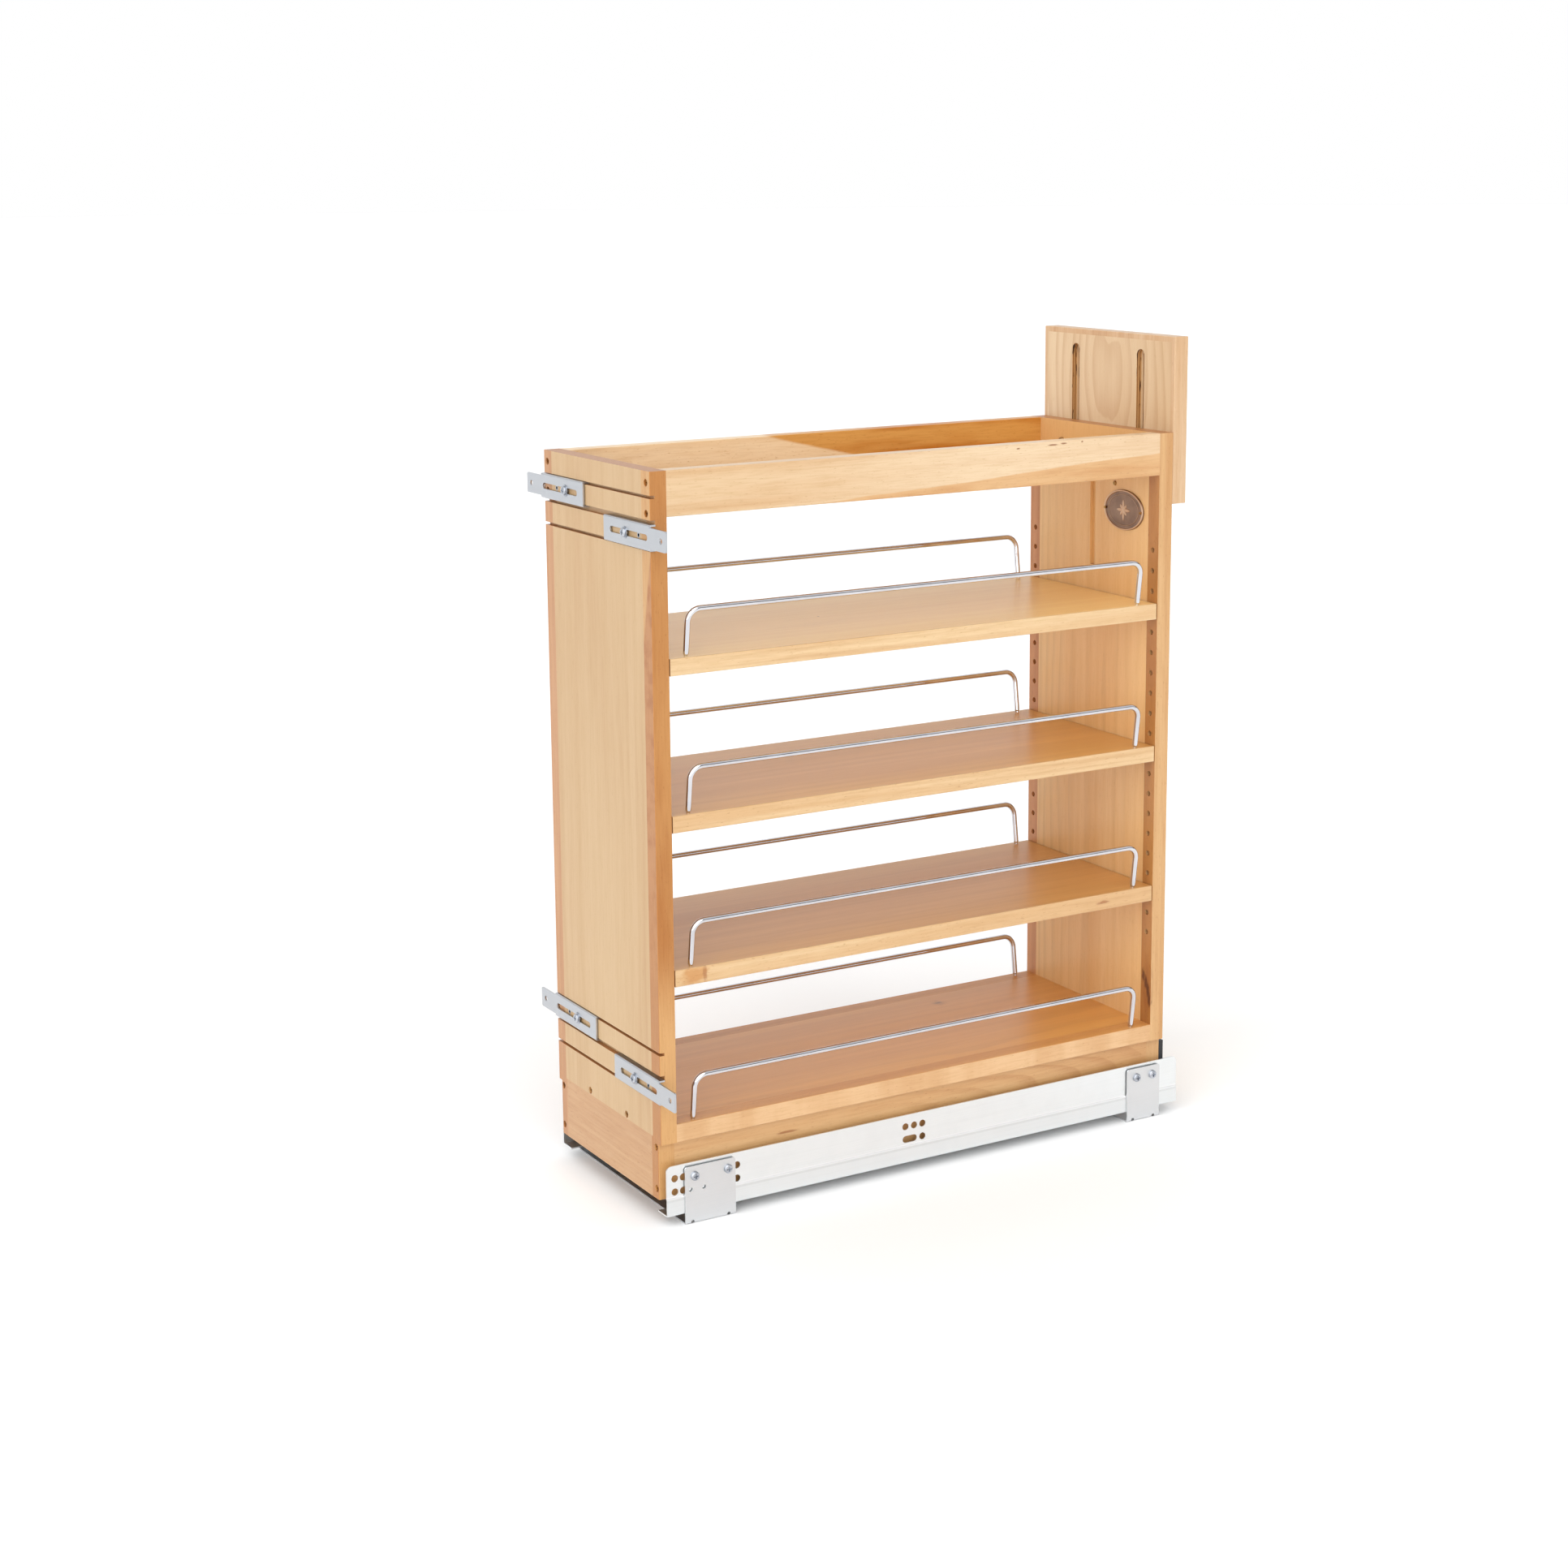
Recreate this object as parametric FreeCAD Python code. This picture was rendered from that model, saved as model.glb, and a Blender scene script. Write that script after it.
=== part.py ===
import FreeCAD, Part
import math
import os
from FreeCAD import Vector

# Pull-out base-cabinet organizer on two undermount slides.
# Millimetres. X is the width, Y runs from the door side (front) to the rear, Z is up from the cabinet
# floor. The shapes are built with y = 0 on the front panel's outer face; export() then moves them so
# that the origin is the centre of the bounding box's base.

# ---- driving dimensions: wooden body ----
WIDTH = 200.0
DEPTH = 535.0
BOARD = 15.2
BODY_TOP = 648.5
BODY_BASE = 23.5
STILE = 15.2
LOWER_INSET = 5.5
LOWER_STILE_INNER = 82.9
CROSS_BOARD_TOP = 78.2
BOTTOM_SHELF_BASE = 74.0
BOTTOM_SHELF_TOP = 90.2
SHELF_THICKNESS = 14.6
HOLE_PITCH = 19.05
HOLES_PER_SHELF_STEP = 7
UPPER_SHELF_HOLE = 3
SHELF_BAND = 1.5
BOTTOM_BAND = 17.2
SHELF_END_GAP = 1.0
TRAY_RAIL_BASE = 610.3
TRAY_FLOOR_BASE = 616.1
TRAY_FLOOR_THICKNESS = 4.8
TRAY_FLOOR_GROOVE = 4.0
SKIRT = 15.0
EDGE_EASE = 0.8
CENTRE_GROOVE_HALF = 3.9
CENTRE_GROOVE_DEPTH = 3.0
CENTRE_GROOVE_END = 516.4
RUNNER_CLEARANCE = 5.0

# ---- driving dimensions: shelf pins and rails ----
PIN_X = 91.8
PIN_RADIUS = 2.5
PIN_HOLE_DEPTH = 8.0
PIN_REACH = 5.6
PIN_ABOVE_SHELF_BASE = 6.0
TOP_PIN_HOLE = 541.0
PIN_HOLES = 20
PIN_CHAMFER = 0.4
NOTCH_CLEARANCE = 0.1
NOTCH_END_CLEARANCE = 0.4
ROD_RADIUS = 2.5
ROD_X = 94.0
ROD_FRONT_Y = 34.0
ROD_REAR_Y = 501.0
ROD_HEIGHT = 40.3
ROD_BEND = 11.0
ROD_LEAN = 7.5
ROD_SOCKET = 10.0
ROD_FOOT_LIFT = 2.2
ROD_FOOT_TAPER = 1.2
TENON_RADIUS = 1.6
TENON_LENGTH = 9.8
TENON_FIT = 0.02

# ---- driving dimensions: extension panel ----
EXTENSION_BASE = 583.1
EXTENSION_TOP = 734.8
EXTENSION_BAND = 5.0
SLOT_X = 49.8
SLOT_EDGE_MARGIN = 13.8
SLOT_OUTER_WIDTH = 11.3
SLOT_INNER_WIDTH = 5.4
SLOT_STEP_DEPTH = 5.5
CLAMP_Z = 627.7
CLAMP_HEAD_RADIUS = 4.6
CLAMP_HEAD = 2.4
CLAMP_SHANK_RADIUS = 2.3
CLAMP_HOLE_RADIUS = 2.4
NUT_RADIUS = 5.2
NUT_HEIGHT = 4.0

# ---- driving dimensions: door brackets ----
BRACKET_BODY = 83.0
BRACKET_TAB = 28.6
BRACKET_HEIGHT = 21.8
TAB_HEIGHT = 17.6
BRACKET_SHEET = 1.5
BRACKET_STANDOFF = 0.7
BRACKET_FLANGE_DEPTH = 3.6
GROOVE_DEPTH = 4.5
GROOVE_HEIGHTS = ((-2.1, 0.5), (-24.6, -19.7), (-45.3, -42.6))
BRACKET_SLOT = 67.5
BRACKET_SLOT_WIDTH = 5.2
BRACKET_SLOT_START = 11.7
TAB_HOLE_RADIUS = 2.45
TAB_HOLE_FROM_END = 8.8
HIGH_BRACKET_Z = 617.3
LOW_BRACKET_DROP = 22.9
LOWER_SET_DROP = 472.8
DOOR_BRACKETS = {
    "upper_left": (-1, 130.9, HIGH_BRACKET_Z, 54.2),
    "upper_right": (1, 130.9, HIGH_BRACKET_Z - LOW_BRACKET_DROP, 57.8),
    "lower_left": (-1, 128.2, HIGH_BRACKET_Z - LOWER_SET_DROP, 53.7),
    "lower_right": (1, 130.4, HIGH_BRACKET_Z - LOWER_SET_DROP - LOW_BRACKET_DROP, 57.2),
}
INSERT_OFFSET = 21.0
INSERT_RADIUS = 2.4
INSERT_LENGTH = 10.0
BRACKET_SCREW_HEAD = 4.0
BRACKET_SCREW_SHANK = 2.0
BRACKET_SCREW_LENGTH = 14.0
BRACKET_WASHER_RADIUS = 5.1
BRACKET_WASHER = 0.8

# ---- driving dimensions: wood screws ----
SCREW_HEAD_RADIUS = 3.1
SCREW_SHANK_RADIUS = 1.6
SCREW_LENGTH = 34.0
SCREW_RECESS = 1.2
PANEL_SCREWS = ((93.1, 638.9), (93.1, 613.6), (90.6, 70.0), (90.6, 32.8), (35.5, 82.1))
TACK_PLACE = (34.0, 596.9)
TACK_HEAD_RADIUS = 2.2
TACK_HEAD = 1.1
TACK_SHANK_RADIUS = 1.0
TACK_LENGTH = 9.0

# ---- driving dimensions: slides ----
SHEET = 1.3
WEB_OUTER = 102.4
WEB_INSET = 0.8
WEB_RIDGE = 25.4
MEMBER_BASE = 9.5
MEMBER_TOP = 54.5
MEMBER_FRONT = 3.6
MEMBER_REAR = 550.2
FLANGE_INNER = 85.5
TRACK_X = 70.0
TRACK_FRONT = 17.0
TRACK_REAR = 548.0
TRACK_SHELF_TOP = 19.0
TRACK_SHELF_INNER = 62.0
TEE_HALF = 5.5
CABINET_TEE_TOP = 34.0
CHANNEL_HALF = 8.5
CHANNEL_BASE = 24.0
CHANNEL_TOP = 58.3
CHANNEL_WEB_BASE = 40.7
CHANNEL_LIP_GAP = 3.0
CHANNEL_FRONT = 18.0
CHANNEL_REAR = 520.0
DRAWER_TEE_BASE = 48.7
DRAWER_PLATE_HALF = 9.0
DRAWER_REAR = 532.0
WEB_HOLE_RADIUS = 3.2
UPPER_HOLE_ROW = 43.0
LOWER_HOLE_ROW = 31.0
END_HOLE_COLUMNS = (11.5, 19.6, 64.0, 72.2)
MIDDLE_HOLE_COLUMNS = (244.9, 254.0, 262.9)
MIDDLE_ROW_RISE = 0.6
WEB_SLOT_Y = 249.4
WEB_SLOT_LENGTH = 15.0
WEB_CORNER = 5.0
JOGGLE_OUTER = 0.8
JOGGLE_INNER = (-0.6, 0.2)
SCREW_HOLE_RADIUS = 1.9
ROLLERS_PER_CAGE = 6
CAGE_WALL = 0.8
ROLLER_CLEARANCE = 0.3
LOWER_CAGE = (140.0, 385.0)
UPPER_CAGE = (150.0, 395.0)
WIDE_ROLLER_RADIUS = 3.15
LOWER_NARROW_RADIUS = 3.5
UPPER_NARROW_RADIUS = 3.3
FITTING_GAP = 1.2
CLIP_REAR = 62.0
CLIP_HALF_SPAN = 14.0
HOOK_THICKNESS = 5.0
HOOK_LEG_BASE = 42.0

# ---- driving dimensions: floor brackets ----
FLOOR_BRACKET_SHEET = 1.5
FLOOR_BRACKET_HEIGHT = 51.5
FLOOR_BRACKETS = {
    "front": (20.3, 69.5, (29.8, 62.2)),
    "rear": (491.0, 528.8, (501.8, 520.1)),
}
FLOOR_HOLE_X = 75.0
FLOOR_HOLE_RADIUS = 2.5
SLIDE_SCREW_Z = 42.6
SLIDE_SCREW_HEAD_RADIUS = 4.0
SLIDE_SCREW_HEAD = 2.4
SLIDE_SCREW_LENGTH = 5.4
STAR_HOLES = {"front": ((25.8, 30.8), (38.8, 30.8)), "rear": ()}
BEND_RADIUS = 2.0
FLANGE_CORNER = 2.5
RELIEF_RADIUS = 1.6
RELIEF_INSET = 7.0
CUTTER_LENGTH = 8.0

# ---- badge ----
BADGE_CENTRE = (49.0, 573.3)
BADGE_HALF_WIDTH = 29.4
BADGE_HALF_HEIGHT = 18.8
BADGE_THICKNESS = 2.0
BADGE_FIELD_DEPTH = 0.7
BADGE_RIM = 2.2
NAIL_INSET = 2.6
NAIL_SHANK_RADIUS = 0.7
NAIL_HEAD_RADIUS = 1.3
NAIL_HEAD = 0.9
NAIL_LENGTH = 8.0

# ---- derived places ----
HALF = WIDTH / 2
STILE_INNER = HALF - STILE
LOWER_HALF = HALF - LOWER_INSET
REAR_INNER = DEPTH - BOARD
UPPER_PIN = TOP_PIN_HOLE - UPPER_SHELF_HOLE * HOLE_PITCH
UPPER_SHELF_TOP = UPPER_PIN - PIN_ABOVE_SHELF_BASE + SHELF_THICKNESS
SHELF_STEP = HOLES_PER_SHELF_STEP * HOLE_PITCH
SHELF_TOPS = {
    "upper": UPPER_SHELF_TOP,
    "middle": UPPER_SHELF_TOP - SHELF_STEP,
    "lower": UPPER_SHELF_TOP - 2 * SHELF_STEP,
}
SCREW_HEAD_FRONT = -4.9
Y_CENTRE = (SCREW_HEAD_FRONT + MEMBER_REAR) / 2
SIDES = {"left": -1, "right": 1}
X_AXIS = Vector(1, 0, 0)
Y_AXIS = Vector(0, 1, 0)
Z_AXIS = Vector(0, 0, 1)

solids = {}


# ---- shape helpers ----
def block(x0, x1, y0, y1, z0, z1):
    return Part.makeBox(x1 - x0, y1 - y0, z1 - z0, Vector(x0, y0, z0))


def rod(radius, length, start, axis):
    return Part.makeCylinder(radius, length, start, axis)


def mirror_x(shape):
    return shape.mirror(Vector(0, 0, 0), X_AXIS)


def to_side(shape, side):
    """A shape drawn on the right, +X, moved to the side given as -1 or 1."""
    return shape if side > 0 else mirror_x(shape)


def prism_along_y(outline_xz, y0, y1):
    points = [Vector(x, y0, z) for x, z in outline_xz]
    face = Part.Face(Part.makePolygon(points + [points[0]]))
    return face.extrude(Vector(0, y1 - y0, 0))


def slot_through_y(x, z, length, width, y0, y1, along=X_AXIS):
    """A round-ended slot cutter whose length runs along X or Z and which is cut along Y."""
    reach = along * ((length - width) / 2)
    ends = [Vector(x, y0, z) - reach, Vector(x, y0, z) + reach]
    caps = [rod(width / 2, y1 - y0, end, Y_AXIS) for end in ends]
    low, high = ends
    across = Vector(width / 2, 0, 0) if along == Z_AXIS else Vector(0, 0, width / 2)
    corner = low - across
    size = (high + across) - corner
    middle = Part.makeBox(size.x, y1 - y0, size.z, corner)
    return middle.fuse(caps).removeSplitter()


def ease(shape, chosen, radius=EDGE_EASE):
    """Round the straight edges whose middle point and direction pass the test."""
    edges = []
    for edge in shape.Edges:
        middle = edge.CenterOfMass
        run = edge.Vertexes[-1].Point - edge.Vertexes[0].Point
        if chosen(middle, run):
            edges.append(edge)
    return shape.makeFillet(radius, edges)


def along_z(run):
    return abs(run.z) > abs(run.x) + abs(run.y)


def along_y(run):
    return abs(run.y) > abs(run.x) + abs(run.z)


def along_x(run):
    return abs(run.x) > abs(run.y) + abs(run.z)


# ---- fasteners, drawn with the head's top at z = 0 and the shank running down ----
def cross_recess(width, depth):
    arm = Part.makeBox(width, width * 0.28, depth, Vector(-width / 2, -width * 0.14, -depth))
    return arm.fuse(arm.rotated(Vector(0, 0, 0), Z_AXIS, 90))


def countersunk_screw(head_radius, shank_radius, length):
    head_height = head_radius - shank_radius
    head = Part.makeCone(shank_radius, head_radius, head_height, Vector(0, 0, -head_height))
    shank = rod(shank_radius, length - head_height, Vector(0, 0, -length), Z_AXIS)
    return head.fuse(shank).cut(cross_recess(head_radius * 1.1, head_height * 0.6))


def pan_screw(head_radius, head_height, shank_radius, length, washer_radius=0.0, washer_height=0.0):
    dome = Part.makeCylinder(head_radius, head_height, Vector(0, 0, -head_height))
    dome = dome.makeFillet(head_height * 0.55, [dome.Edges[0]])
    under_head = -head_height - washer_height
    shape = dome.fuse(rod(shank_radius, length + washer_height, Vector(0, 0, under_head - length), Z_AXIS))
    if washer_radius:
        shape = shape.fuse(rod(washer_radius, washer_height, Vector(0, 0, under_head), Z_AXIS))
    return shape.cut(cross_recess(head_radius * 1.1, head_height * 0.6)).removeSplitter()


def place(shape, point, outward):
    """Turn a fastener so that its head faces outward, and move its head's top to the point."""
    turned = shape.copy()
    turned.Placement = FreeCAD.Placement(Vector(*point), FreeCAD.Rotation(Z_AXIS, Vector(*outward)))
    return turned


def bore(names, cutters):
    """Cut the fasteners' holes in each named solid that they reach."""
    for name in names:
        near = [cutter for cutter in cutters if cutter.BoundBox.intersect(solids[name].BoundBox)]
        if near:
            solids[name] = solids[name].cut(near)


# ---- end panels ----
def pin_hole_heights():
    return [TOP_PIN_HOLE - HOLE_PITCH * step for step in range(PIN_HOLES)]


def stile_right(y0, y1, face_y):
    """A solid stile with its narrower foot and its row of shelf-pin holes on the bay side."""
    outline = [
        (STILE_INNER, BODY_TOP), (HALF, BODY_TOP), (HALF, BOTTOM_SHELF_BASE),
        (LOWER_HALF, BOTTOM_SHELF_BASE), (LOWER_HALF, BODY_BASE), (LOWER_STILE_INNER, BODY_BASE),
        (LOWER_STILE_INNER, CROSS_BOARD_TOP), (STILE_INNER, CROSS_BOARD_TOP),
    ]
    stile = prism_along_y(outline, y0, y1)
    stile = ease(stile, lambda m, run: along_z(run) and m.x > LOWER_HALF - 1 and abs(m.y - face_y) > 1)
    inward = 1 if face_y == y1 else -1
    start = face_y - inward * PIN_HOLE_DEPTH
    holes = [rod(PIN_RADIUS, PIN_HOLE_DEPTH, Vector(PIN_X, min(start, face_y), z), Y_AXIS)
             for z in pin_hole_heights()]
    return stile.cut(holes)


def front_grooves():
    """The cross grooves in the front face that the door brackets' flanges slide in."""
    cutters = []
    for drop in (0.0, LOWER_SET_DROP):
        top = HIGH_BRACKET_Z + BRACKET_HEIGHT / 2 - drop
        for low, high in GROOVE_HEIGHTS:
            cutters.append(block(-HALF - 1, HALF + 1, -1, GROOVE_DEPTH, top + low, top + high))
    return cutters


def build_front_panel():
    grooves = front_grooves()
    field = block(-STILE_INNER, STILE_INNER, 0, BOARD, CROSS_BOARD_TOP, BODY_TOP)
    solids["front_panel"] = field.cut(grooves)
    stile = stile_right(0, BOARD, BOARD).cut(grooves)
    for name, side in SIDES.items():
        solids["front_stile_" + name] = to_side(stile, side)
    solids["front_cross_board"] = block(-LOWER_STILE_INNER, LOWER_STILE_INNER, 0, BOARD,
                                        BODY_BASE, CROSS_BOARD_TOP)


def build_rear_panel():
    tongue_half = TRACK_SHELF_INNER - RUNNER_CLEARANCE
    outline = [
        (-STILE_INNER, BODY_TOP), (STILE_INNER, BODY_TOP), (STILE_INNER, CROSS_BOARD_TOP),
        (LOWER_STILE_INNER, CROSS_BOARD_TOP), (LOWER_STILE_INNER, BOTTOM_SHELF_BASE),
        (tongue_half, BOTTOM_SHELF_BASE), (tongue_half, BODY_BASE), (-tongue_half, BODY_BASE),
        (-tongue_half, BOTTOM_SHELF_BASE), (-LOWER_STILE_INNER, BOTTOM_SHELF_BASE),
        (-LOWER_STILE_INNER, CROSS_BOARD_TOP), (-STILE_INNER, CROSS_BOARD_TOP),
    ]
    panel = prism_along_y(outline, REAR_INNER, DEPTH)
    groove = block(-CENTRE_GROOVE_HALF, CENTRE_GROOVE_HALF, REAR_INNER - 1, REAR_INNER + CENTRE_GROOVE_DEPTH,
                   CENTRE_GROOVE_END, TRAY_RAIL_BASE)
    solids["rear_panel"] = panel.cut(groove)
    stile = stile_right(REAR_INNER, DEPTH, REAR_INNER)
    for name, side in SIDES.items():
        solids["rear_stile_" + name] = to_side(stile, side)


# ---- tray ----
def build_tray():
    rail = block(STILE_INNER, HALF, BOARD, REAR_INNER, TRAY_RAIL_BASE, BODY_TOP)
    rail = ease(rail, lambda m, run: along_y(run))
    floor_top = TRAY_FLOOR_BASE + TRAY_FLOOR_THICKNESS
    groove = block(STILE_INNER - 1, STILE_INNER + TRAY_FLOOR_GROOVE, BOARD - 1, REAR_INNER + 1,
                   TRAY_FLOOR_BASE - 0.1, floor_top + 0.1)
    rail = rail.cut(groove)
    for name, side in SIDES.items():
        solids["tray_rail_" + name] = to_side(rail, side)
    floor_half = STILE_INNER + TRAY_FLOOR_GROOVE - 0.3
    solids["tray_floor"] = block(-floor_half, floor_half, BOARD + 0.2, REAR_INNER - 0.2,
                                 TRAY_FLOOR_BASE, floor_top)


# ---- shelves ----
def rod_socket(top):
    """The slanted blind hole that takes the tenon of one leg of a rail, for the right-hand side."""
    hole = rod(TENON_RADIUS + TENON_FIT, ROD_SOCKET + 2, Vector(0, 0, -ROD_SOCKET), Z_AXIS)
    hole.rotate(Vector(0, 0, 0), Y_AXIS, ROD_LEAN)
    hole.translate(Vector(ROD_X, 0, top))
    return hole


def socket_cutters(top):
    cutters = []
    for y in (ROD_FRONT_Y, ROD_REAR_Y):
        hole = rod_socket(top)
        hole.translate(Vector(0, y, 0))
        cutters += [hole, mirror_x(hole)]
    return cutters


def banded_board(name, band_width, y0, y1, base, top, notches):
    """A veneered core with a solid band on each long edge."""
    core_half = HALF - band_width
    cutters = socket_cutters(top) + notches
    core = block(-core_half, core_half, y0, y1, base, top)
    solids[name] = core.cut(cutters)
    band = block(core_half, HALF, y0, y1, base, top)
    band = ease(band, lambda m, run: along_y(run) and m.x > HALF - 0.5).cut(cutters)
    for side_name, side in SIDES.items():
        solids[name + "_band_" + side_name] = to_side(band, side)


def pin_notches(base):
    """Open-bottomed notches in a shelf's two ends, which drop over the shelf pins."""
    half_width = PIN_RADIUS + NOTCH_CLEARANCE
    height = PIN_ABOVE_SHELF_BASE + PIN_RADIUS
    reach = PIN_REACH + NOTCH_END_CLEARANCE
    cutters = []
    for x in (-PIN_X, PIN_X):
        for y0, y1 in ((BOARD, BOARD + reach), (REAR_INNER - reach, REAR_INNER)):
            cutters.append(block(x - half_width, x + half_width, y0, y1, base - 1, base + height))
    return cutters


def build_shelves():
    for name, top in SHELF_TOPS.items():
        base = top - SHELF_THICKNESS
        banded_board(name + "_shelf", SHELF_BAND, BOARD + SHELF_END_GAP, REAR_INNER - SHELF_END_GAP, base, top,
                     pin_notches(base))
    banded_board("bottom_shelf", BOTTOM_BAND, BOARD, REAR_INNER, BOTTOM_SHELF_BASE, BOTTOM_SHELF_TOP, [])


def build_shelf_pins():
    pins = []
    for top in SHELF_TOPS.values():
        z = top - SHELF_THICKNESS + PIN_ABOVE_SHELF_BASE
        for x in (-PIN_X, PIN_X):
            for y in (BOARD - PIN_HOLE_DEPTH, REAR_INNER - PIN_REACH):
                pin = rod(PIN_RADIUS, PIN_HOLE_DEPTH + PIN_REACH, Vector(x, y, z), Y_AXIS)
                pins.append(pin.makeChamfer(PIN_CHAMFER, pin.Edges[::2]))
    solids["shelf_pins"] = Part.makeCompound(pins)


def build_skirts():
    skirt = block(LOWER_HALF - SKIRT, LOWER_HALF, BOARD, REAR_INNER, BODY_BASE, BOTTOM_SHELF_BASE)
    skirt = ease(skirt, lambda m, run: along_y(run) and m.z < BODY_BASE + 1)
    for name, side in SIDES.items():
        solids["skirt_" + name] = to_side(skirt, side)


# ---- rails ----
def rail_right():
    """A rod bent into a long U and leaning outward, each leg ending in a taper and a thinner tenon."""
    front, rear = ROD_FRONT_Y, ROD_REAR_Y
    bend, top, foot = ROD_BEND, ROD_HEIGHT, ROD_FOOT_LIFT
    knee = bend * (1 - math.sqrt(0.5))
    edges = [
        Part.LineSegment(Vector(0, front, foot), Vector(0, front, top - bend)).toShape(),
        Part.Arc(Vector(0, front, top - bend), Vector(0, front + knee, top - knee),
                 Vector(0, front + bend, top)).toShape(),
        Part.LineSegment(Vector(0, front + bend, top), Vector(0, rear - bend, top)).toShape(),
        Part.Arc(Vector(0, rear - bend, top), Vector(0, rear - knee, top - knee),
                 Vector(0, rear, top - bend)).toShape(),
        Part.LineSegment(Vector(0, rear, top - bend), Vector(0, rear, foot)).toShape(),
    ]
    path = Part.Wire(edges)
    section = Part.Wire(Part.makeCircle(ROD_RADIUS, Vector(0, front, foot), Z_AXIS))
    shape = path.makePipeShell([section], True, True)
    shoulder = foot - ROD_FOOT_TAPER
    for y in (front, rear):
        taper = Part.makeCone(TENON_RADIUS, ROD_RADIUS, ROD_FOOT_TAPER, Vector(0, y, shoulder))
        tenon = rod(TENON_RADIUS, shoulder + TENON_LENGTH, Vector(0, y, -TENON_LENGTH), Z_AXIS)
        shape = shape.fuse([taper, tenon])
    shape = shape.removeSplitter()
    shape.rotate(Vector(0, 0, 0), Y_AXIS, ROD_LEAN)
    return shape


def build_rails():
    tops = dict(SHELF_TOPS, bottom=BOTTOM_SHELF_TOP)
    for shelf, top in tops.items():
        rail = rail_right()
        rail.translate(Vector(ROD_X, 0, top))
        for name, side in SIDES.items():
            solids[shelf + "_rail_" + name] = to_side(rail, side)


# ---- extension panel ----
def build_extension():
    y0, y1 = DEPTH, DEPTH + BOARD
    height = EXTENSION_TOP - EXTENSION_BASE
    middle_z = (EXTENSION_TOP + EXTENSION_BASE) / 2
    inner_half = HALF - EXTENSION_BAND
    inner = block(-inner_half, inner_half, y0, y1,
                  EXTENSION_BASE + EXTENSION_BAND, EXTENSION_TOP - EXTENSION_BAND)
    outer = block(-HALF, HALF, y0, y1, EXTENSION_BASE, EXTENSION_TOP)
    outer = ease(outer, lambda m, run: abs(m.x) > HALF - 1 or not along_y(run))
    solids["extension_edging"] = outer.cut(inner)
    length = height - 2 * SLOT_EDGE_MARGIN
    narrow_length = length - SLOT_OUTER_WIDTH + SLOT_INNER_WIDTH
    cutters = []
    for x in (-SLOT_X, SLOT_X):
        cutters += [
            slot_through_y(x, middle_z, length, SLOT_OUTER_WIDTH, y0 - 1, y0 + SLOT_STEP_DEPTH, Z_AXIS),
            slot_through_y(x, middle_z, narrow_length, SLOT_INNER_WIDTH, y0 - 1, y1 + 1, Z_AXIS),
            slot_through_y(x, middle_z, length, SLOT_OUTER_WIDTH, y1 - SLOT_STEP_DEPTH, y1 + 1, Z_AXIS),
        ]
    solids["extension_panel"] = inner.cut(cutters)


def build_extension_clamps():
    """Two screws from the tray, through the rear panel and the slots, into recessed nuts."""
    screw = pan_screw(CLAMP_HEAD_RADIUS, CLAMP_HEAD, CLAMP_SHANK_RADIUS, 2 * BOARD - 2.0)
    nut_y = DEPTH + BOARD - SLOT_STEP_DEPTH
    screws = []
    nuts = []
    holes = []
    for x in (-SLOT_X, SLOT_X):
        screws.append(place(screw, (x, REAR_INNER - CLAMP_HEAD, CLAMP_Z), (0, -1, 0)))
        nut = rod(NUT_RADIUS, NUT_HEIGHT, Vector(x, nut_y, CLAMP_Z), Y_AXIS)
        nuts.append(nut.cut(rod(CLAMP_SHANK_RADIUS, NUT_HEIGHT + 2, Vector(x, nut_y - 1, CLAMP_Z), Y_AXIS)))
        holes.append(rod(CLAMP_HOLE_RADIUS, BOARD + 2, Vector(x, REAR_INNER - 1, CLAMP_Z), Y_AXIS))
    solids["extension_clamp_screws"] = Part.makeCompound(screws)
    solids["extension_clamp_nuts"] = Part.makeCompound(nuts)
    bore(["rear_panel"], holes)


# ---- door brackets ----
def door_bracket():
    """The right-hand bracket, with its inner end at x = 0 and its middle at z = 0."""
    front = -BRACKET_STANDOFF - BRACKET_SHEET
    half = BRACKET_HEIGHT / 2
    body = block(0, BRACKET_BODY, front, BRACKET_FLANGE_DEPTH, -half, half)
    body = ease(body, lambda m, run: along_x(run) and m.y < 0, BRACKET_SHEET * 0.9)
    body = body.cut(block(-1, BRACKET_BODY + 1, -BRACKET_STANDOFF, BRACKET_FLANGE_DEPTH + 1,
                          BRACKET_SHEET - half, half - BRACKET_SHEET))
    end = BRACKET_BODY + BRACKET_TAB
    tab = block(BRACKET_BODY - 5, end, front, -BRACKET_STANDOFF, -TAB_HEIGHT / 2, TAB_HEIGHT / 2)
    tab = ease(tab, lambda m, run: along_y(run) and m.x > end - 1, 1.5)
    slot_middle = BRACKET_SLOT_START + BRACKET_SLOT / 2
    openings = [
        slot_through_y(slot_middle, 0, BRACKET_SLOT, BRACKET_SLOT_WIDTH, front - 1, 0),
        rod(TAB_HOLE_RADIUS, BRACKET_SHEET + 2, Vector(end - TAB_HOLE_FROM_END, front - 1, 0), Y_AXIS),
    ]
    return body.fuse(tab).removeSplitter().cut(openings)


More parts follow.
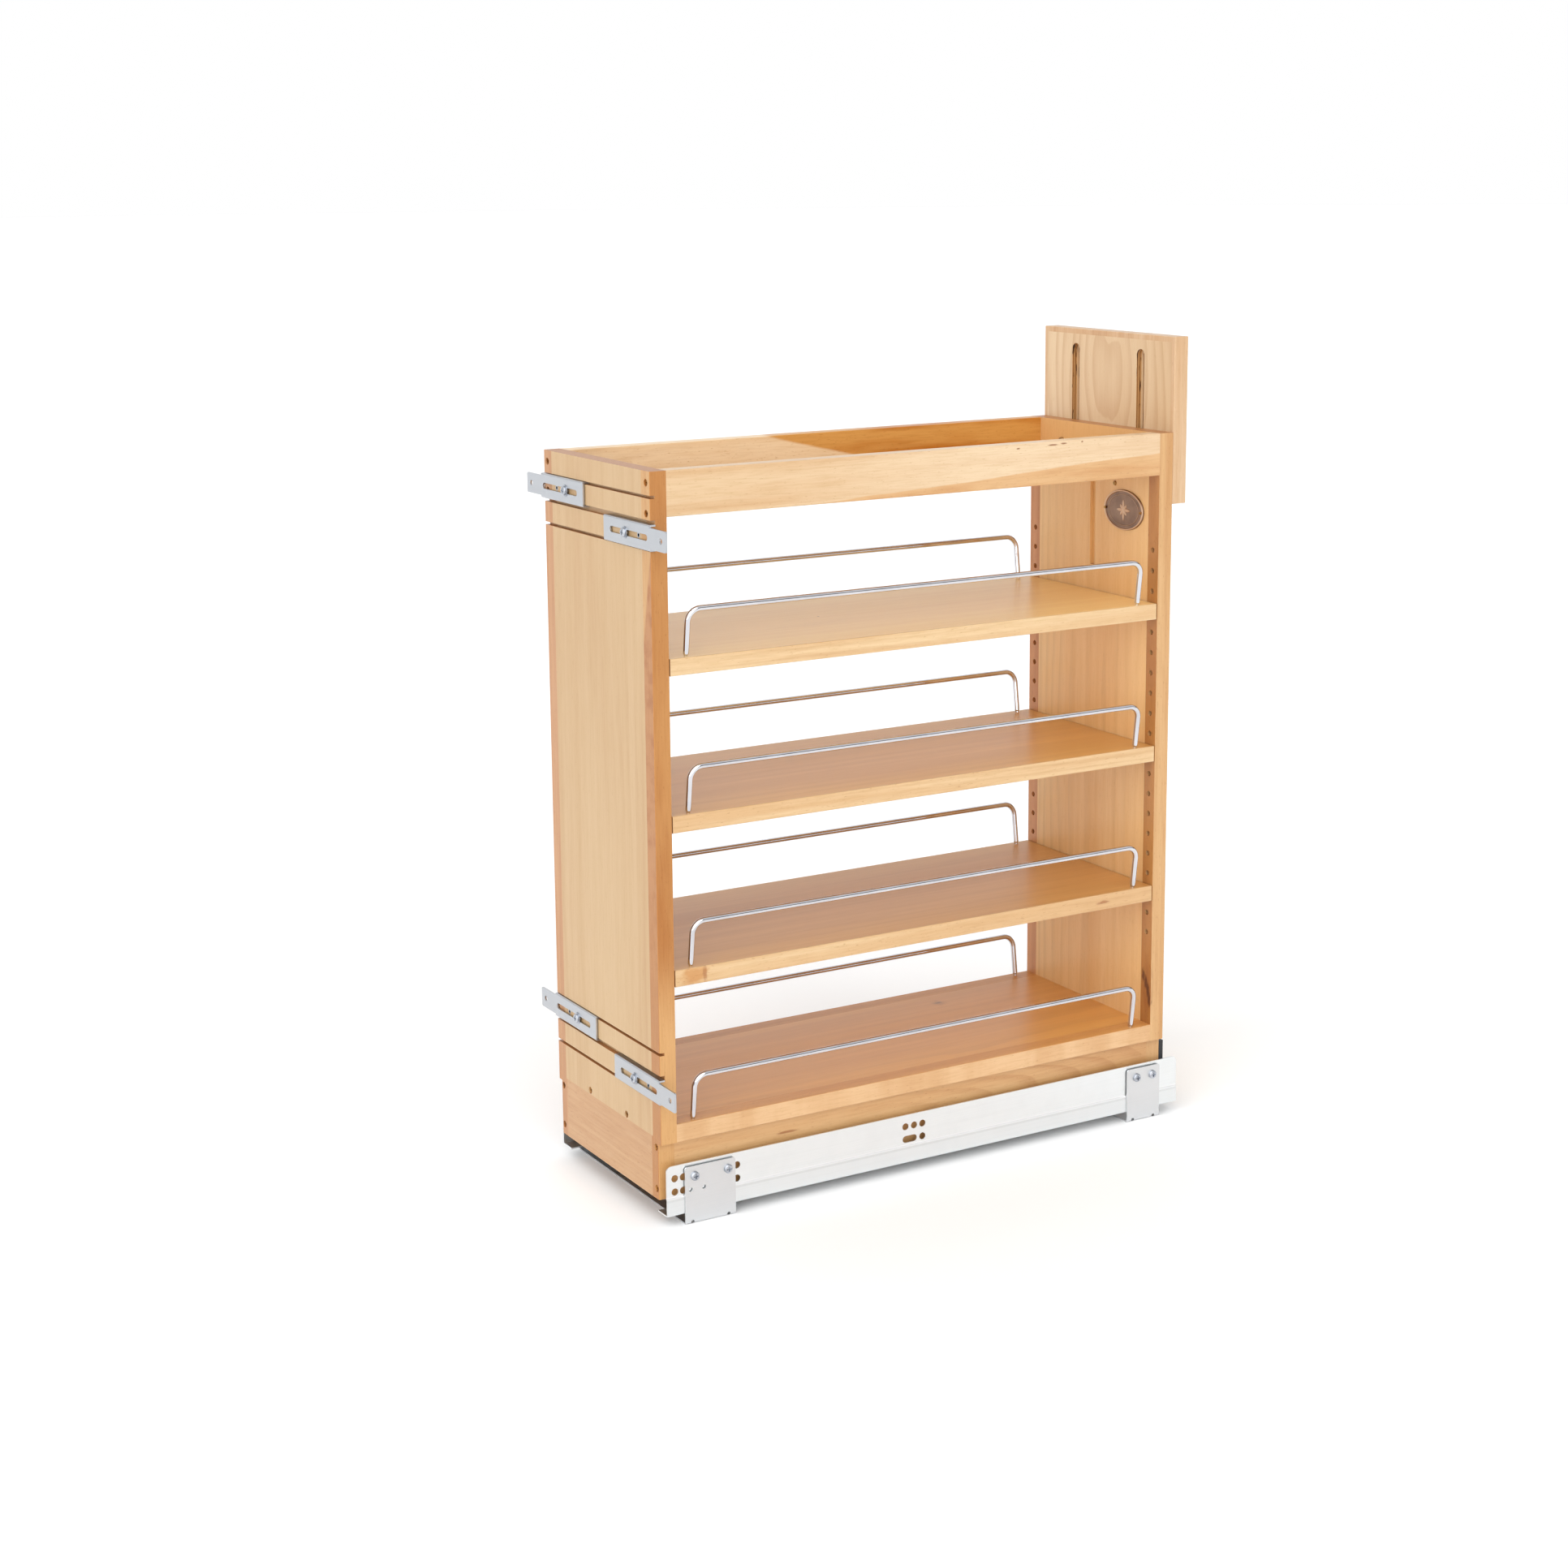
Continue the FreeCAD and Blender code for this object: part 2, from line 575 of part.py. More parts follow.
def build_door_brackets():
    """Four sliding brackets, the screw that clamps each one and the spare insert beside it."""
    reach = BRACKET_BODY + BRACKET_TAB
    plate_front = -BRACKET_STANDOFF - BRACKET_SHEET
    head = plate_front - SCREW_HEAD_FRONT - BRACKET_WASHER
    screw = pan_screw(BRACKET_SCREW_HEAD, head, BRACKET_SCREW_SHANK, BRACKET_SCREW_LENGTH,
                      BRACKET_WASHER_RADIUS, BRACKET_WASHER)
    screws = []
    inserts = []
    holes = []
    for name, (side, tab_end, z, screw_x) in DOOR_BRACKETS.items():
        bracket = door_bracket()
        bracket.translate(Vector(tab_end - reach, 0, z))
        solids["door_bracket_" + name] = to_side(bracket, side)
        screws.append(place(screw, (side * screw_x, SCREW_HEAD_FRONT, z), (0, -1, 0)))
        insert_x = side * (screw_x + INSERT_OFFSET)
        insert = rod(INSERT_RADIUS, INSERT_LENGTH, Vector(insert_x, 0, z), Y_AXIS)
        inserts.append(insert.cut(rod(1.5, INSERT_LENGTH - 2, Vector(insert_x, -1, z), Y_AXIS)))
        holes.append(rod(BRACKET_SCREW_SHANK, BRACKET_SCREW_LENGTH, Vector(side * screw_x, -1, z), Y_AXIS))
        holes.append(rod(INSERT_RADIUS, INSERT_LENGTH + 1, Vector(insert_x, -1, z), Y_AXIS))
    solids["door_bracket_screws"] = Part.makeCompound(screws)
    solids["door_bracket_inserts"] = Part.makeCompound(inserts)
    bore(["front_panel"], holes)


# ---- wood screws ----
def build_panel_screws():
    head_height = SCREW_HEAD_RADIUS - SCREW_SHANK_RADIUS
    screw = countersunk_screw(SCREW_HEAD_RADIUS, SCREW_SHANK_RADIUS, SCREW_LENGTH)
    head = Part.makeCone(SCREW_SHANK_RADIUS, SCREW_HEAD_RADIUS, head_height, Vector(0, 0, -head_height))
    hole = head.fuse([rod(SCREW_HEAD_RADIUS, SCREW_RECESS + 1, Vector(0, 0, 0), Z_AXIS),
                      rod(SCREW_SHANK_RADIUS, SCREW_LENGTH, Vector(0, 0, -SCREW_LENGTH), Z_AXIS)])
    boards = [name for name in solids if name.startswith(("front_", "rear_", "tray_rail", "skirt", "bottom_shelf"))]
    for panel, outer_y, direction in (("front", 0.0, 1), ("rear", DEPTH, -1)):
        screws = []
        cutters = []
        for x, z in PANEL_SCREWS:
            for side in (-1, 1):
                head_at = (side * x, outer_y + direction * SCREW_RECESS, z)
                screws.append(place(screw, head_at, (0, -direction, 0)))
                cutters.append(place(hole, head_at, (0, -direction, 0)))
        solids[panel + "_panel_screws"] = Part.makeCompound(screws)
        bore(boards, cutters)


def build_tack():
    """The small brass screw in the rear panel's inner face, just under the tray."""
    x, z = TACK_PLACE
    tack = place(pan_screw(TACK_HEAD_RADIUS, TACK_HEAD, TACK_SHANK_RADIUS, TACK_LENGTH),
                 (x, REAR_INNER - TACK_HEAD, z), (0, -1, 0))
    solids["rear_panel_screws"] = Part.makeCompound(solids["rear_panel_screws"].Solids + [tack])
    bore(["rear_panel"], [rod(TACK_SHANK_RADIUS, TACK_LENGTH + 1, Vector(x, REAR_INNER - 1, z), Y_AXIS)])


# ---- badge ----
def oval(half_width, half_height, y0, y1):
    edge = Part.Ellipse(Vector(0, 0, 0), half_width, half_height).toShape()
    solid = Part.Face(Part.Wire(edge)).extrude(Vector(0, 0, y1 - y0))
    solid.rotate(Vector(0, 0, 0), X_AXIS, -90)
    solid.translate(Vector(BADGE_CENTRE[0], y0, BADGE_CENTRE[1]))
    return solid


def build_badge():
    """An oval plate with a sunk field, held by a nail at each end."""
    front = REAR_INNER - BADGE_THICKNESS
    z = BADGE_CENTRE[1]
    plate = oval(BADGE_HALF_WIDTH, BADGE_HALF_HEIGHT, front, REAR_INNER)
    field = oval(BADGE_HALF_WIDTH - BADGE_RIM, BADGE_HALF_HEIGHT - BADGE_RIM,
                 front - 1, front + BADGE_FIELD_DEPTH)
    nails = []
    shank_holes = []
    for side in (-1, 1):
        x = BADGE_CENTRE[0] + side * (BADGE_HALF_WIDTH - NAIL_INSET)
        shank = rod(NAIL_SHANK_RADIUS, NAIL_LENGTH, Vector(x, front, z), Y_AXIS)
        head = rod(NAIL_HEAD_RADIUS, NAIL_HEAD, Vector(x, front - NAIL_HEAD, z), Y_AXIS)
        nails.append(head.fuse(shank))
        shank_holes.append(rod(NAIL_SHANK_RADIUS, NAIL_LENGTH + 1, Vector(x, front, z), Y_AXIS))
    solids["badge"] = plate.cut(field).cut(shank_holes)
    solids["badge_nails"] = Part.makeCompound(nails)
    bore(["rear_panel"], shank_holes)


# ---- slides ----
def web_openings():
    """Holes and the slot in the cabinet member's web, as cutters along X."""
    start = WEB_OUTER - CUTTER_LENGTH / 2
    middle_upper = UPPER_HOLE_ROW + MIDDLE_ROW_RISE
    middle_lower = LOWER_HOLE_ROW + MIDDLE_ROW_RISE
    spots = [(y, z) for y in END_HOLE_COLUMNS for z in (UPPER_HOLE_ROW, LOWER_HOLE_ROW)]
    spots += [(y, middle_upper) for y in MIDDLE_HOLE_COLUMNS]
    spots.append((MIDDLE_HOLE_COLUMNS[-1], middle_lower))
    cutters = [rod(WEB_HOLE_RADIUS, CUTTER_LENGTH, Vector(start, y, z), X_AXIS) for y, z in spots]
    slot = slot_through_y(0, middle_lower, WEB_SLOT_LENGTH, 2 * WEB_HOLE_RADIUS, 0, CUTTER_LENGTH)
    slot.rotate(Vector(0, 0, 0), Z_AXIS, 90)
    slot.translate(Vector(start + CUTTER_LENGTH, WEB_SLOT_Y, 0))
    return cutters + [slot]


def cabinet_member():
    """The fixed right-hand member: outer web, foot flange and the tee-shaped track."""
    top_x = WEB_OUTER - WEB_INSET
    joggle_low, joggle_high = JOGGLE_INNER
    outline = [
        (top_x - SHEET, MEMBER_TOP), (top_x, MEMBER_TOP), (top_x, WEB_RIDGE + JOGGLE_OUTER),
        (WEB_OUTER, WEB_RIDGE),
        (WEB_OUTER, MEMBER_BASE), (FLANGE_INNER, MEMBER_BASE), (FLANGE_INNER, MEMBER_BASE + SHEET),
        (WEB_OUTER - SHEET, MEMBER_BASE + SHEET), (WEB_OUTER - SHEET, WEB_RIDGE + joggle_low),
        (top_x - SHEET, WEB_RIDGE + joggle_high),
    ]
    outer = prism_along_y(outline, MEMBER_FRONT, MEMBER_REAR)
    outer = ease(outer, lambda m, run: along_x(run) and m.z > MEMBER_TOP - 0.1, WEB_CORNER)
    outer = ease(outer, lambda m, run: along_y(run) and m.z < MEMBER_BASE + 0.1 and m.x > WEB_OUTER - 0.1, SHEET)
    x0, x1 = TRACK_X - TEE_HALF, TRACK_X + TEE_HALF
    shelf_base = TRACK_SHELF_TOP - SHEET
    track = [
        block(FLANGE_INNER, FLANGE_INNER + SHEET, TRACK_FRONT, TRACK_REAR, MEMBER_BASE, TRACK_SHELF_TOP),
        block(TRACK_SHELF_INNER, FLANGE_INNER + SHEET, TRACK_FRONT, TRACK_REAR, shelf_base, TRACK_SHELF_TOP),
        block(TRACK_X - SHEET / 2, TRACK_X + SHEET / 2, TRACK_FRONT, TRACK_REAR, shelf_base, CABINET_TEE_TOP),
        block(x0, x1, TRACK_FRONT, TRACK_REAR, CABINET_TEE_TOP - SHEET, CABINET_TEE_TOP),
    ]
    member = outer.fuse(track).removeSplitter()
    start = WEB_OUTER - CUTTER_LENGTH / 2
    screw_holes = [rod(SCREW_HOLE_RADIUS, CUTTER_LENGTH, Vector(start, y, SLIDE_SCREW_Z), X_AXIS)
                   for _, _, screw_ys in FLOOR_BRACKETS.values() for y in screw_ys]
    return member.cut(web_openings() + screw_holes)


def middle_member():
    """The right-hand middle member: two channels back to back around the rollers."""
    x0, x1 = TRACK_X - CHANNEL_HALF, TRACK_X + CHANNEL_HALF
    shape = block(x0, x1, CHANNEL_FRONT, CHANNEL_REAR, CHANNEL_BASE, CHANNEL_TOP)
    hollows = [(CHANNEL_BASE + SHEET, CHANNEL_WEB_BASE), (CHANNEL_WEB_BASE + SHEET, CHANNEL_TOP - SHEET)]
    for z0, z1 in hollows:
        shape = shape.cut(block(x0 + SHEET, x1 - SHEET, CHANNEL_FRONT - 1, CHANNEL_REAR + 1, z0, z1))
    for z0, z1 in ((CHANNEL_BASE - 1, CHANNEL_BASE + SHEET + 1), (CHANNEL_TOP - SHEET - 1, CHANNEL_TOP + 1)):
        shape = shape.cut(block(TRACK_X - CHANNEL_LIP_GAP, TRACK_X + CHANNEL_LIP_GAP,
                                CHANNEL_FRONT - 1, CHANNEL_REAR + 1, z0, z1))
    return shape


def drawer_member():
    """The right-hand moving member: mounting plate, hanging web and running flange."""
    plate = block(TRACK_X - DRAWER_PLATE_HALF, TRACK_X + DRAWER_PLATE_HALF, TRACK_FRONT, DRAWER_REAR,
                  BOTTOM_SHELF_BASE - SHEET, BOTTOM_SHELF_BASE)
    web = block(TRACK_X - SHEET / 2, TRACK_X + SHEET / 2, TRACK_FRONT, DRAWER_REAR, DRAWER_TEE_BASE,
                BOTTOM_SHELF_BASE)
    flange = block(TRACK_X - TEE_HALF, TRACK_X + TEE_HALF, TRACK_FRONT, DRAWER_REAR, DRAWER_TEE_BASE,
                   DRAWER_TEE_BASE + SHEET)
    return plate.fuse([web, flange]).removeSplitter()


def roller_set(span, wide_z, narrow_z, narrow_radius):
    """A plastic cage round one running flange, with a wide row and two narrow rows of rollers."""
    y0, y1 = span
    half = CHANNEL_HALF - SHEET - 0.5
    low, high = sorted((wide_z, narrow_z))
    cage = block(TRACK_X - half, TRACK_X + half, y0, y1, low - CAGE_WALL, high + CAGE_WALL)
    cage = cage.cut(block(TRACK_X - half + CAGE_WALL, TRACK_X + half - CAGE_WALL, y0 - 1, y1 + 1,
                          low + CAGE_WALL, high - CAGE_WALL))
    web_gap = SHEET / 2 + 0.75
    cage = cage.cut(block(TRACK_X - web_gap, TRACK_X + web_gap, y0 - 1, y1 + 1, narrow_z - 2, narrow_z + 2))
    rows = [(TRACK_X - 3.6, 7.2, wide_z, WIDE_ROLLER_RADIUS), (TRACK_X - 5.2, 3.0, narrow_z, narrow_radius),
            (TRACK_X + 2.2, 3.0, narrow_z, narrow_radius)]
    gap = ROLLER_CLEARANCE
    rollers = []
    pockets = []
    for step in range(ROLLERS_PER_CAGE):
        y = y0 + (y1 - y0) * (step + 0.5) / ROLLERS_PER_CAGE
        for x, length, z, radius in rows:
            rollers.append(rod(radius, length, Vector(x, y, z), X_AXIS))
            pockets.append(block(x - gap, x + length + gap, y - radius - gap, y + radius + gap, z - 2, z + 2))
    return [cage.cut(pockets)] + rollers


def build_slides():
    members = {
        "cabinet_member_": cabinet_member(),
        "middle_member_": middle_member(),
        "drawer_member_": drawer_member(),
    }
    for prefix, shape in members.items():
        for name, side in SIDES.items():
            solids[prefix + name] = to_side(shape, side)
    lower_wide = (CABINET_TEE_TOP + CHANNEL_WEB_BASE) / 2
    lower_narrow = (CHANNEL_BASE + CABINET_TEE_TOP) / 2
    upper_wide = (CHANNEL_WEB_BASE + SHEET + DRAWER_TEE_BASE) / 2
    upper_narrow = (DRAWER_TEE_BASE + CHANNEL_TOP) / 2
    sets = {
        "lower_roller_cages": roller_set(LOWER_CAGE, lower_wide, lower_narrow, LOWER_NARROW_RADIUS),
        "upper_roller_cages": roller_set(UPPER_CAGE, upper_wide, upper_narrow, UPPER_NARROW_RADIUS),
    }
    for name, shapes in sets.items():
        solids[name] = Part.makeCompound(shapes + [mirror_x(shape) for shape in shapes])


def build_slide_fittings():
    """Plastic locking clips at the front of the drawer members and hooks at their rear."""
    clip_top = BOTTOM_SHELF_BASE - SHEET
    clip_base = CHANNEL_TOP + FITTING_GAP
    clip_outer = TRACK_X - CLIP_HALF_SPAN
    clip = block(clip_outer, TRACK_X - 1, BOARD + 0.3, CLIP_REAR, clip_base, clip_top)
    upright = [edge for edge in clip.Edges if abs(edge.Vertexes[0].Z - edge.Vertexes[-1].Z) > 1]
    clip = clip.makeFillet(1.5, upright)
    lever = block(clip_outer - 12, clip_outer + 1, 24, 34, clip_base, clip_base + 4)
    clip = clip.fuse(lever).removeSplitter()
    hook_base = clip_base + 1
    hook_top = BOTTOM_SHELF_BASE - 4
    hook_outer = LOWER_HALF - 0.5
    y0, y1 = DEPTH + 0.2, DEPTH + HOOK_THICKNESS
    bar = block(TRACK_X - 8, hook_outer, y0, y1, hook_base, hook_top)
    leg = block(LOWER_STILE_INNER - 1, hook_outer, y0, y1, HOOK_LEG_BASE, hook_top)
    tongue = block(TRACK_X - 7, TRACK_X - 0.8, DRAWER_REAR - 12, DEPTH + 0.5, hook_base, hook_top)
    hook = bar.fuse([leg, tongue]).removeSplitter()
    solids["locking_clips"] = Part.makeCompound([clip, mirror_x(clip)])
    solids["rear_hooks"] = Part.makeCompound([hook, mirror_x(hook)])


# ---- floor brackets ----
def floor_bracket(y0, y1, screw_ys, star_holes):
    """A bent plate across the cabinet floor whose two upright flanges carry the slides."""
    outer = WEB_OUTER + FLOOR_BRACKET_SHEET
    plate = block(-outer, outer, y0, y1, 0, FLOOR_BRACKET_HEIGHT)
    plate = ease(plate, lambda m, run: along_y(run) and m.z < 0.1, BEND_RADIUS)
    hollow = block(-WEB_OUTER, WEB_OUTER, y0 - 1, y1 + 1, FLOOR_BRACKET_SHEET, FLOOR_BRACKET_HEIGHT + 1)
    bracket = plate.cut(hollow)
    bracket = ease(bracket, lambda m, run: along_x(run) and m.z > FLOOR_BRACKET_HEIGHT - 0.1, FLANGE_CORNER)
    flange_holes = [(y, SLIDE_SCREW_Z) for y in screw_ys] + list(star_holes)
    cutters = []
    for side in (-1, 1):
        start = side * WEB_OUTER - CUTTER_LENGTH / 2
        cutters.append(rod(FLOOR_HOLE_RADIUS, 4, Vector(side * FLOOR_HOLE_X, (y0 + y1) / 2, -1), Z_AXIS))
        cutters += [rod(RELIEF_RADIUS, CUTTER_LENGTH, Vector(start, y, RELIEF_RADIUS), X_AXIS)
                    for y in (y0 + RELIEF_INSET, y1 - RELIEF_INSET)]
        cutters += [rod(SCREW_HOLE_RADIUS, CUTTER_LENGTH, Vector(start, y, z), X_AXIS) for y, z in flange_holes]
    return bracket.cut(cutters)


def build_floor_brackets():
    screw = pan_screw(SLIDE_SCREW_HEAD_RADIUS, SLIDE_SCREW_HEAD, SCREW_HOLE_RADIUS, SLIDE_SCREW_LENGTH)
    head_x = WEB_OUTER + FLOOR_BRACKET_SHEET + SLIDE_SCREW_HEAD
    screws = []
    for name, (y0, y1, screw_ys) in FLOOR_BRACKETS.items():
        solids[name + "_floor_bracket"] = floor_bracket(y0, y1, screw_ys, STAR_HOLES[name])
        for side in (-1, 1):
            for y in screw_ys:
                screws.append(place(screw, (side * head_x, y, SLIDE_SCREW_Z), (side, 0, 0)))
    solids["floor_bracket_screws"] = Part.makeCompound(screws)


def export():
    os.makedirs("parts", exist_ok=True)
    for name, shape in solids.items():
        moved = shape.copy()
        moved.translate(Vector(0, -Y_CENTRE, 0))
        moved.exportStep("parts/" + name + ".step")


build_front_panel()
build_rear_panel()
build_tray()
build_skirts()
build_shelves()
build_shelf_pins()
build_rails()
build_extension()
build_extension_clamps()
build_door_brackets()
build_panel_screws()
build_tack()
build_badge()
build_slides()
build_slide_fittings()
build_floor_brackets()
export()
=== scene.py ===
import math

import bmesh
import bpy
from mathutils import Matrix, Vector


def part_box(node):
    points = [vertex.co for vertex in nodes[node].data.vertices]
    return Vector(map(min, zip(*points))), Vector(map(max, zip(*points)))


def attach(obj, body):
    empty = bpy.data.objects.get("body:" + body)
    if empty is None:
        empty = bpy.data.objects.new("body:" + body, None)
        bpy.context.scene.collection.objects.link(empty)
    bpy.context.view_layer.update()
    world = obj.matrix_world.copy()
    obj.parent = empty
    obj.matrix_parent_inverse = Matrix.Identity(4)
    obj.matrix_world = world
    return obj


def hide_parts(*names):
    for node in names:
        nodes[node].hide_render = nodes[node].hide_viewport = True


# Pull-out base-cabinet organizer: camera, studio, materials and the badge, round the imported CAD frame.
# Metres, in the CAD's own frame: X is the width, the door side faces -Y, Z is up.

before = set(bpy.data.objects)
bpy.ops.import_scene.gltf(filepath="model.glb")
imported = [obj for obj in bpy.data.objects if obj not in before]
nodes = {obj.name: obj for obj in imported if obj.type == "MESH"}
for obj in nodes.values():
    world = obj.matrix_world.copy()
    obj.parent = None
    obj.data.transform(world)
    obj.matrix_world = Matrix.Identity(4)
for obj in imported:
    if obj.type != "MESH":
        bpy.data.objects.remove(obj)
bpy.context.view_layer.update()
scene = bpy.context.scene

X, Y, Z = 0, 1, 2

# The camera was solved from the object's straight edges. Its angles are in degrees: turned from +Y to -X,
# tipped down, and rolled. The sensor and the lens are in millimetres.
CAMERA_PLACE = (2.0229, -1.2632, 0.9031)
CAMERA_TURN, CAMERA_DIP, CAMERA_ROLL = 59.89, 10.56, -0.50
SENSOR_WIDTH, LENS, LENS_SHIFT = 36.0, 61.62, -0.085

# The studio: the level direction from the object to the camera's side, and the floor's size.
CAMERA_SIDE = (0.80, -0.60, 0.0)
FLOOR_RADIUS = 40.0

# Wood noise in cells per metre, across the grain and then along it.
STRIPES, WANDER, RIPPLE, RING_PATCHES = (110.0, 2.6), (14.0, 2.2), (60.0, 9.0), (9.0, 3.0)
FIBRES, PORES = (620.0, 34.0), (1100.0, 210.0)
RIPPLE_DEPTH = 0.004
PLY_PAIRS = 390.0

# The slide's rolled ridge, above the lower edge of its outer member.
RIDGE_ABOVE_BASE = 0.0159


# ---- camera ----
def make_camera():
    """A camera at the photograph's viewing angle, seeing the door side and the right-hand side."""
    data = bpy.data.cameras.new("camera")
    data.sensor_width = SENSOR_WIDTH
    data.lens = LENS
    data.shift_y = LENS_SHIFT
    camera = bpy.data.objects.new("camera", data)
    scene.collection.objects.link(camera)
    turn, dip, roll = (math.radians(angle) for angle in (CAMERA_TURN, CAMERA_DIP, CAMERA_ROLL))
    forward = Vector((-math.sin(turn) * math.cos(dip), math.cos(turn) * math.cos(dip), -math.sin(dip)))
    level = Vector((math.cos(turn), math.sin(turn), 0.0))
    upright = level.cross(forward)
    right = math.cos(roll) * level + math.sin(roll) * upright
    up = math.cos(roll) * upright - math.sin(roll) * level
    facing = Matrix((right, up, -forward)).transposed().to_4x4()
    camera.matrix_world = Matrix.Translation(CAMERA_PLACE) @ facing
    scene.camera = camera


# ---- studio ----
def make_world():
    """A white studio: a bright horizon all round, a dark band above it to mirror, and a bright ceiling."""
    world = bpy.data.worlds.new("studio")
    world.use_nodes = True
    tree = world.node_tree
    tree.nodes.clear()
    output = tree.nodes.new("ShaderNodeOutputWorld")
    background = tree.nodes.new("ShaderNodeBackground")
    place = tree.nodes.new("ShaderNodeTexCoord")
    split = tree.nodes.new("ShaderNodeSeparateXYZ")
    tree.links.new(place.outputs["Generated"], split.inputs[0])

    def sky(*levels):
        """Brightness by height, from (sine of the height angle, level) pairs, white at the horizon."""
        ramp = tree.nodes.new("ShaderNodeValToRGB")
        tree.links.new(split.outputs[2], ramp.inputs["Fac"])
        stops = ramp.color_ramp.elements
        stops[0].position, stops[1].position = 0.0, 1.0
        stops[0].color = (1.0, 1.0, 1.0, 1)
        stops[1].color = (levels[-1][1],) * 3 + (1,)
        for at, level in levels[:-1]:
            stops.new(at).color = (level, level, level, 1)
        return ramp.outputs["Color"]

    far_side = sky((0.18, 1.0), (0.21, 0.20), (0.33, 0.08), (0.39, 0.95), (0.70, 0.85), (1.0, 0.75))
    near_side = sky((0.12, 1.0), (0.16, 0.12), (0.40, 0.12), (0.60, 0.75), (1.0, 0.75))
    facing = tree.nodes.new("ShaderNodeVectorMath")
    facing.operation = "DOT_PRODUCT"
    facing.inputs[1].default_value = CAMERA_SIDE
    tree.links.new(place.outputs["Generated"], facing.inputs[0])
    side = tree.nodes.new("ShaderNodeMapRange")
    side.interpolation_type = "SMOOTHSTEP"
    side.inputs["From Min"].default_value = -0.2
    side.inputs["From Max"].default_value = 0.5
    tree.links.new(facing.outputs["Value"], side.inputs["Value"])
    mix = tree.nodes.new("ShaderNodeMix")
    mix.data_type = "RGBA"
    tree.links.new(side.outputs[0], mix.inputs[0])
    tree.links.new(far_side, mix.inputs[6])
    tree.links.new(near_side, mix.inputs[7])
    tree.links.new(mix.outputs[2], background.inputs["Color"])
    background.inputs["Strength"].default_value = 1.0
    tree.links.new(background.outputs[0], output.inputs[0])
    scene.world = world


def sun(name, direction, strength, spread):
    """A broad soft light that shines along a direction, even over the whole floor."""
    data = bpy.data.lights.new(name, "SUN")
    data.energy = strength
    data.angle = math.radians(spread)
    light = bpy.data.objects.new(name, data)
    light.rotation_euler = Vector(direction).to_track_quat("-Z", "Y").to_euler()
    scene.collection.objects.link(light)


def make_lights():
    sun("key", (-0.74, 0.68, -0.52), 2.95, 100)
    sun("far_side", (0.85, -0.10, -0.60), 0.30, 60)


def make_floor():
    mesh = bpy.data.meshes.new("floor")
    shape = bmesh.new()
    bmesh.ops.create_circle(shape, cap_ends=True, radius=FLOOR_RADIUS, segments=96)
    shape.to_mesh(mesh)
    shape.free()
    floor = bpy.data.objects.new("floor", mesh)
    scene.collection.objects.link(floor)
    paper = Graph("studio_floor")
    paper.set(Base_Color=tone(251, 251, 251), Roughness=0.9, Specular_IOR_Level=0.1)
    mesh.materials.append(paper.material)


# ---- procedural materials ----
def linear(value):
    value /= 255.0
    return value / 12.92 if value <= 0.04045 else ((value + 0.055) / 1.055) ** 2.4


def tone(red, green, blue):
    """A colour given as it looks on a screen, 0 to 255, as Blender's linear colour."""
    return (linear(red), linear(green), linear(blue), 1.0)


WHITE = (1.0, 1.0, 1.0, 1.0)
FIBRE_TINT = (0.80, 0.70, 0.56, 1.0)
PORE_TINT = (0.66, 0.50, 0.36, 1.0)


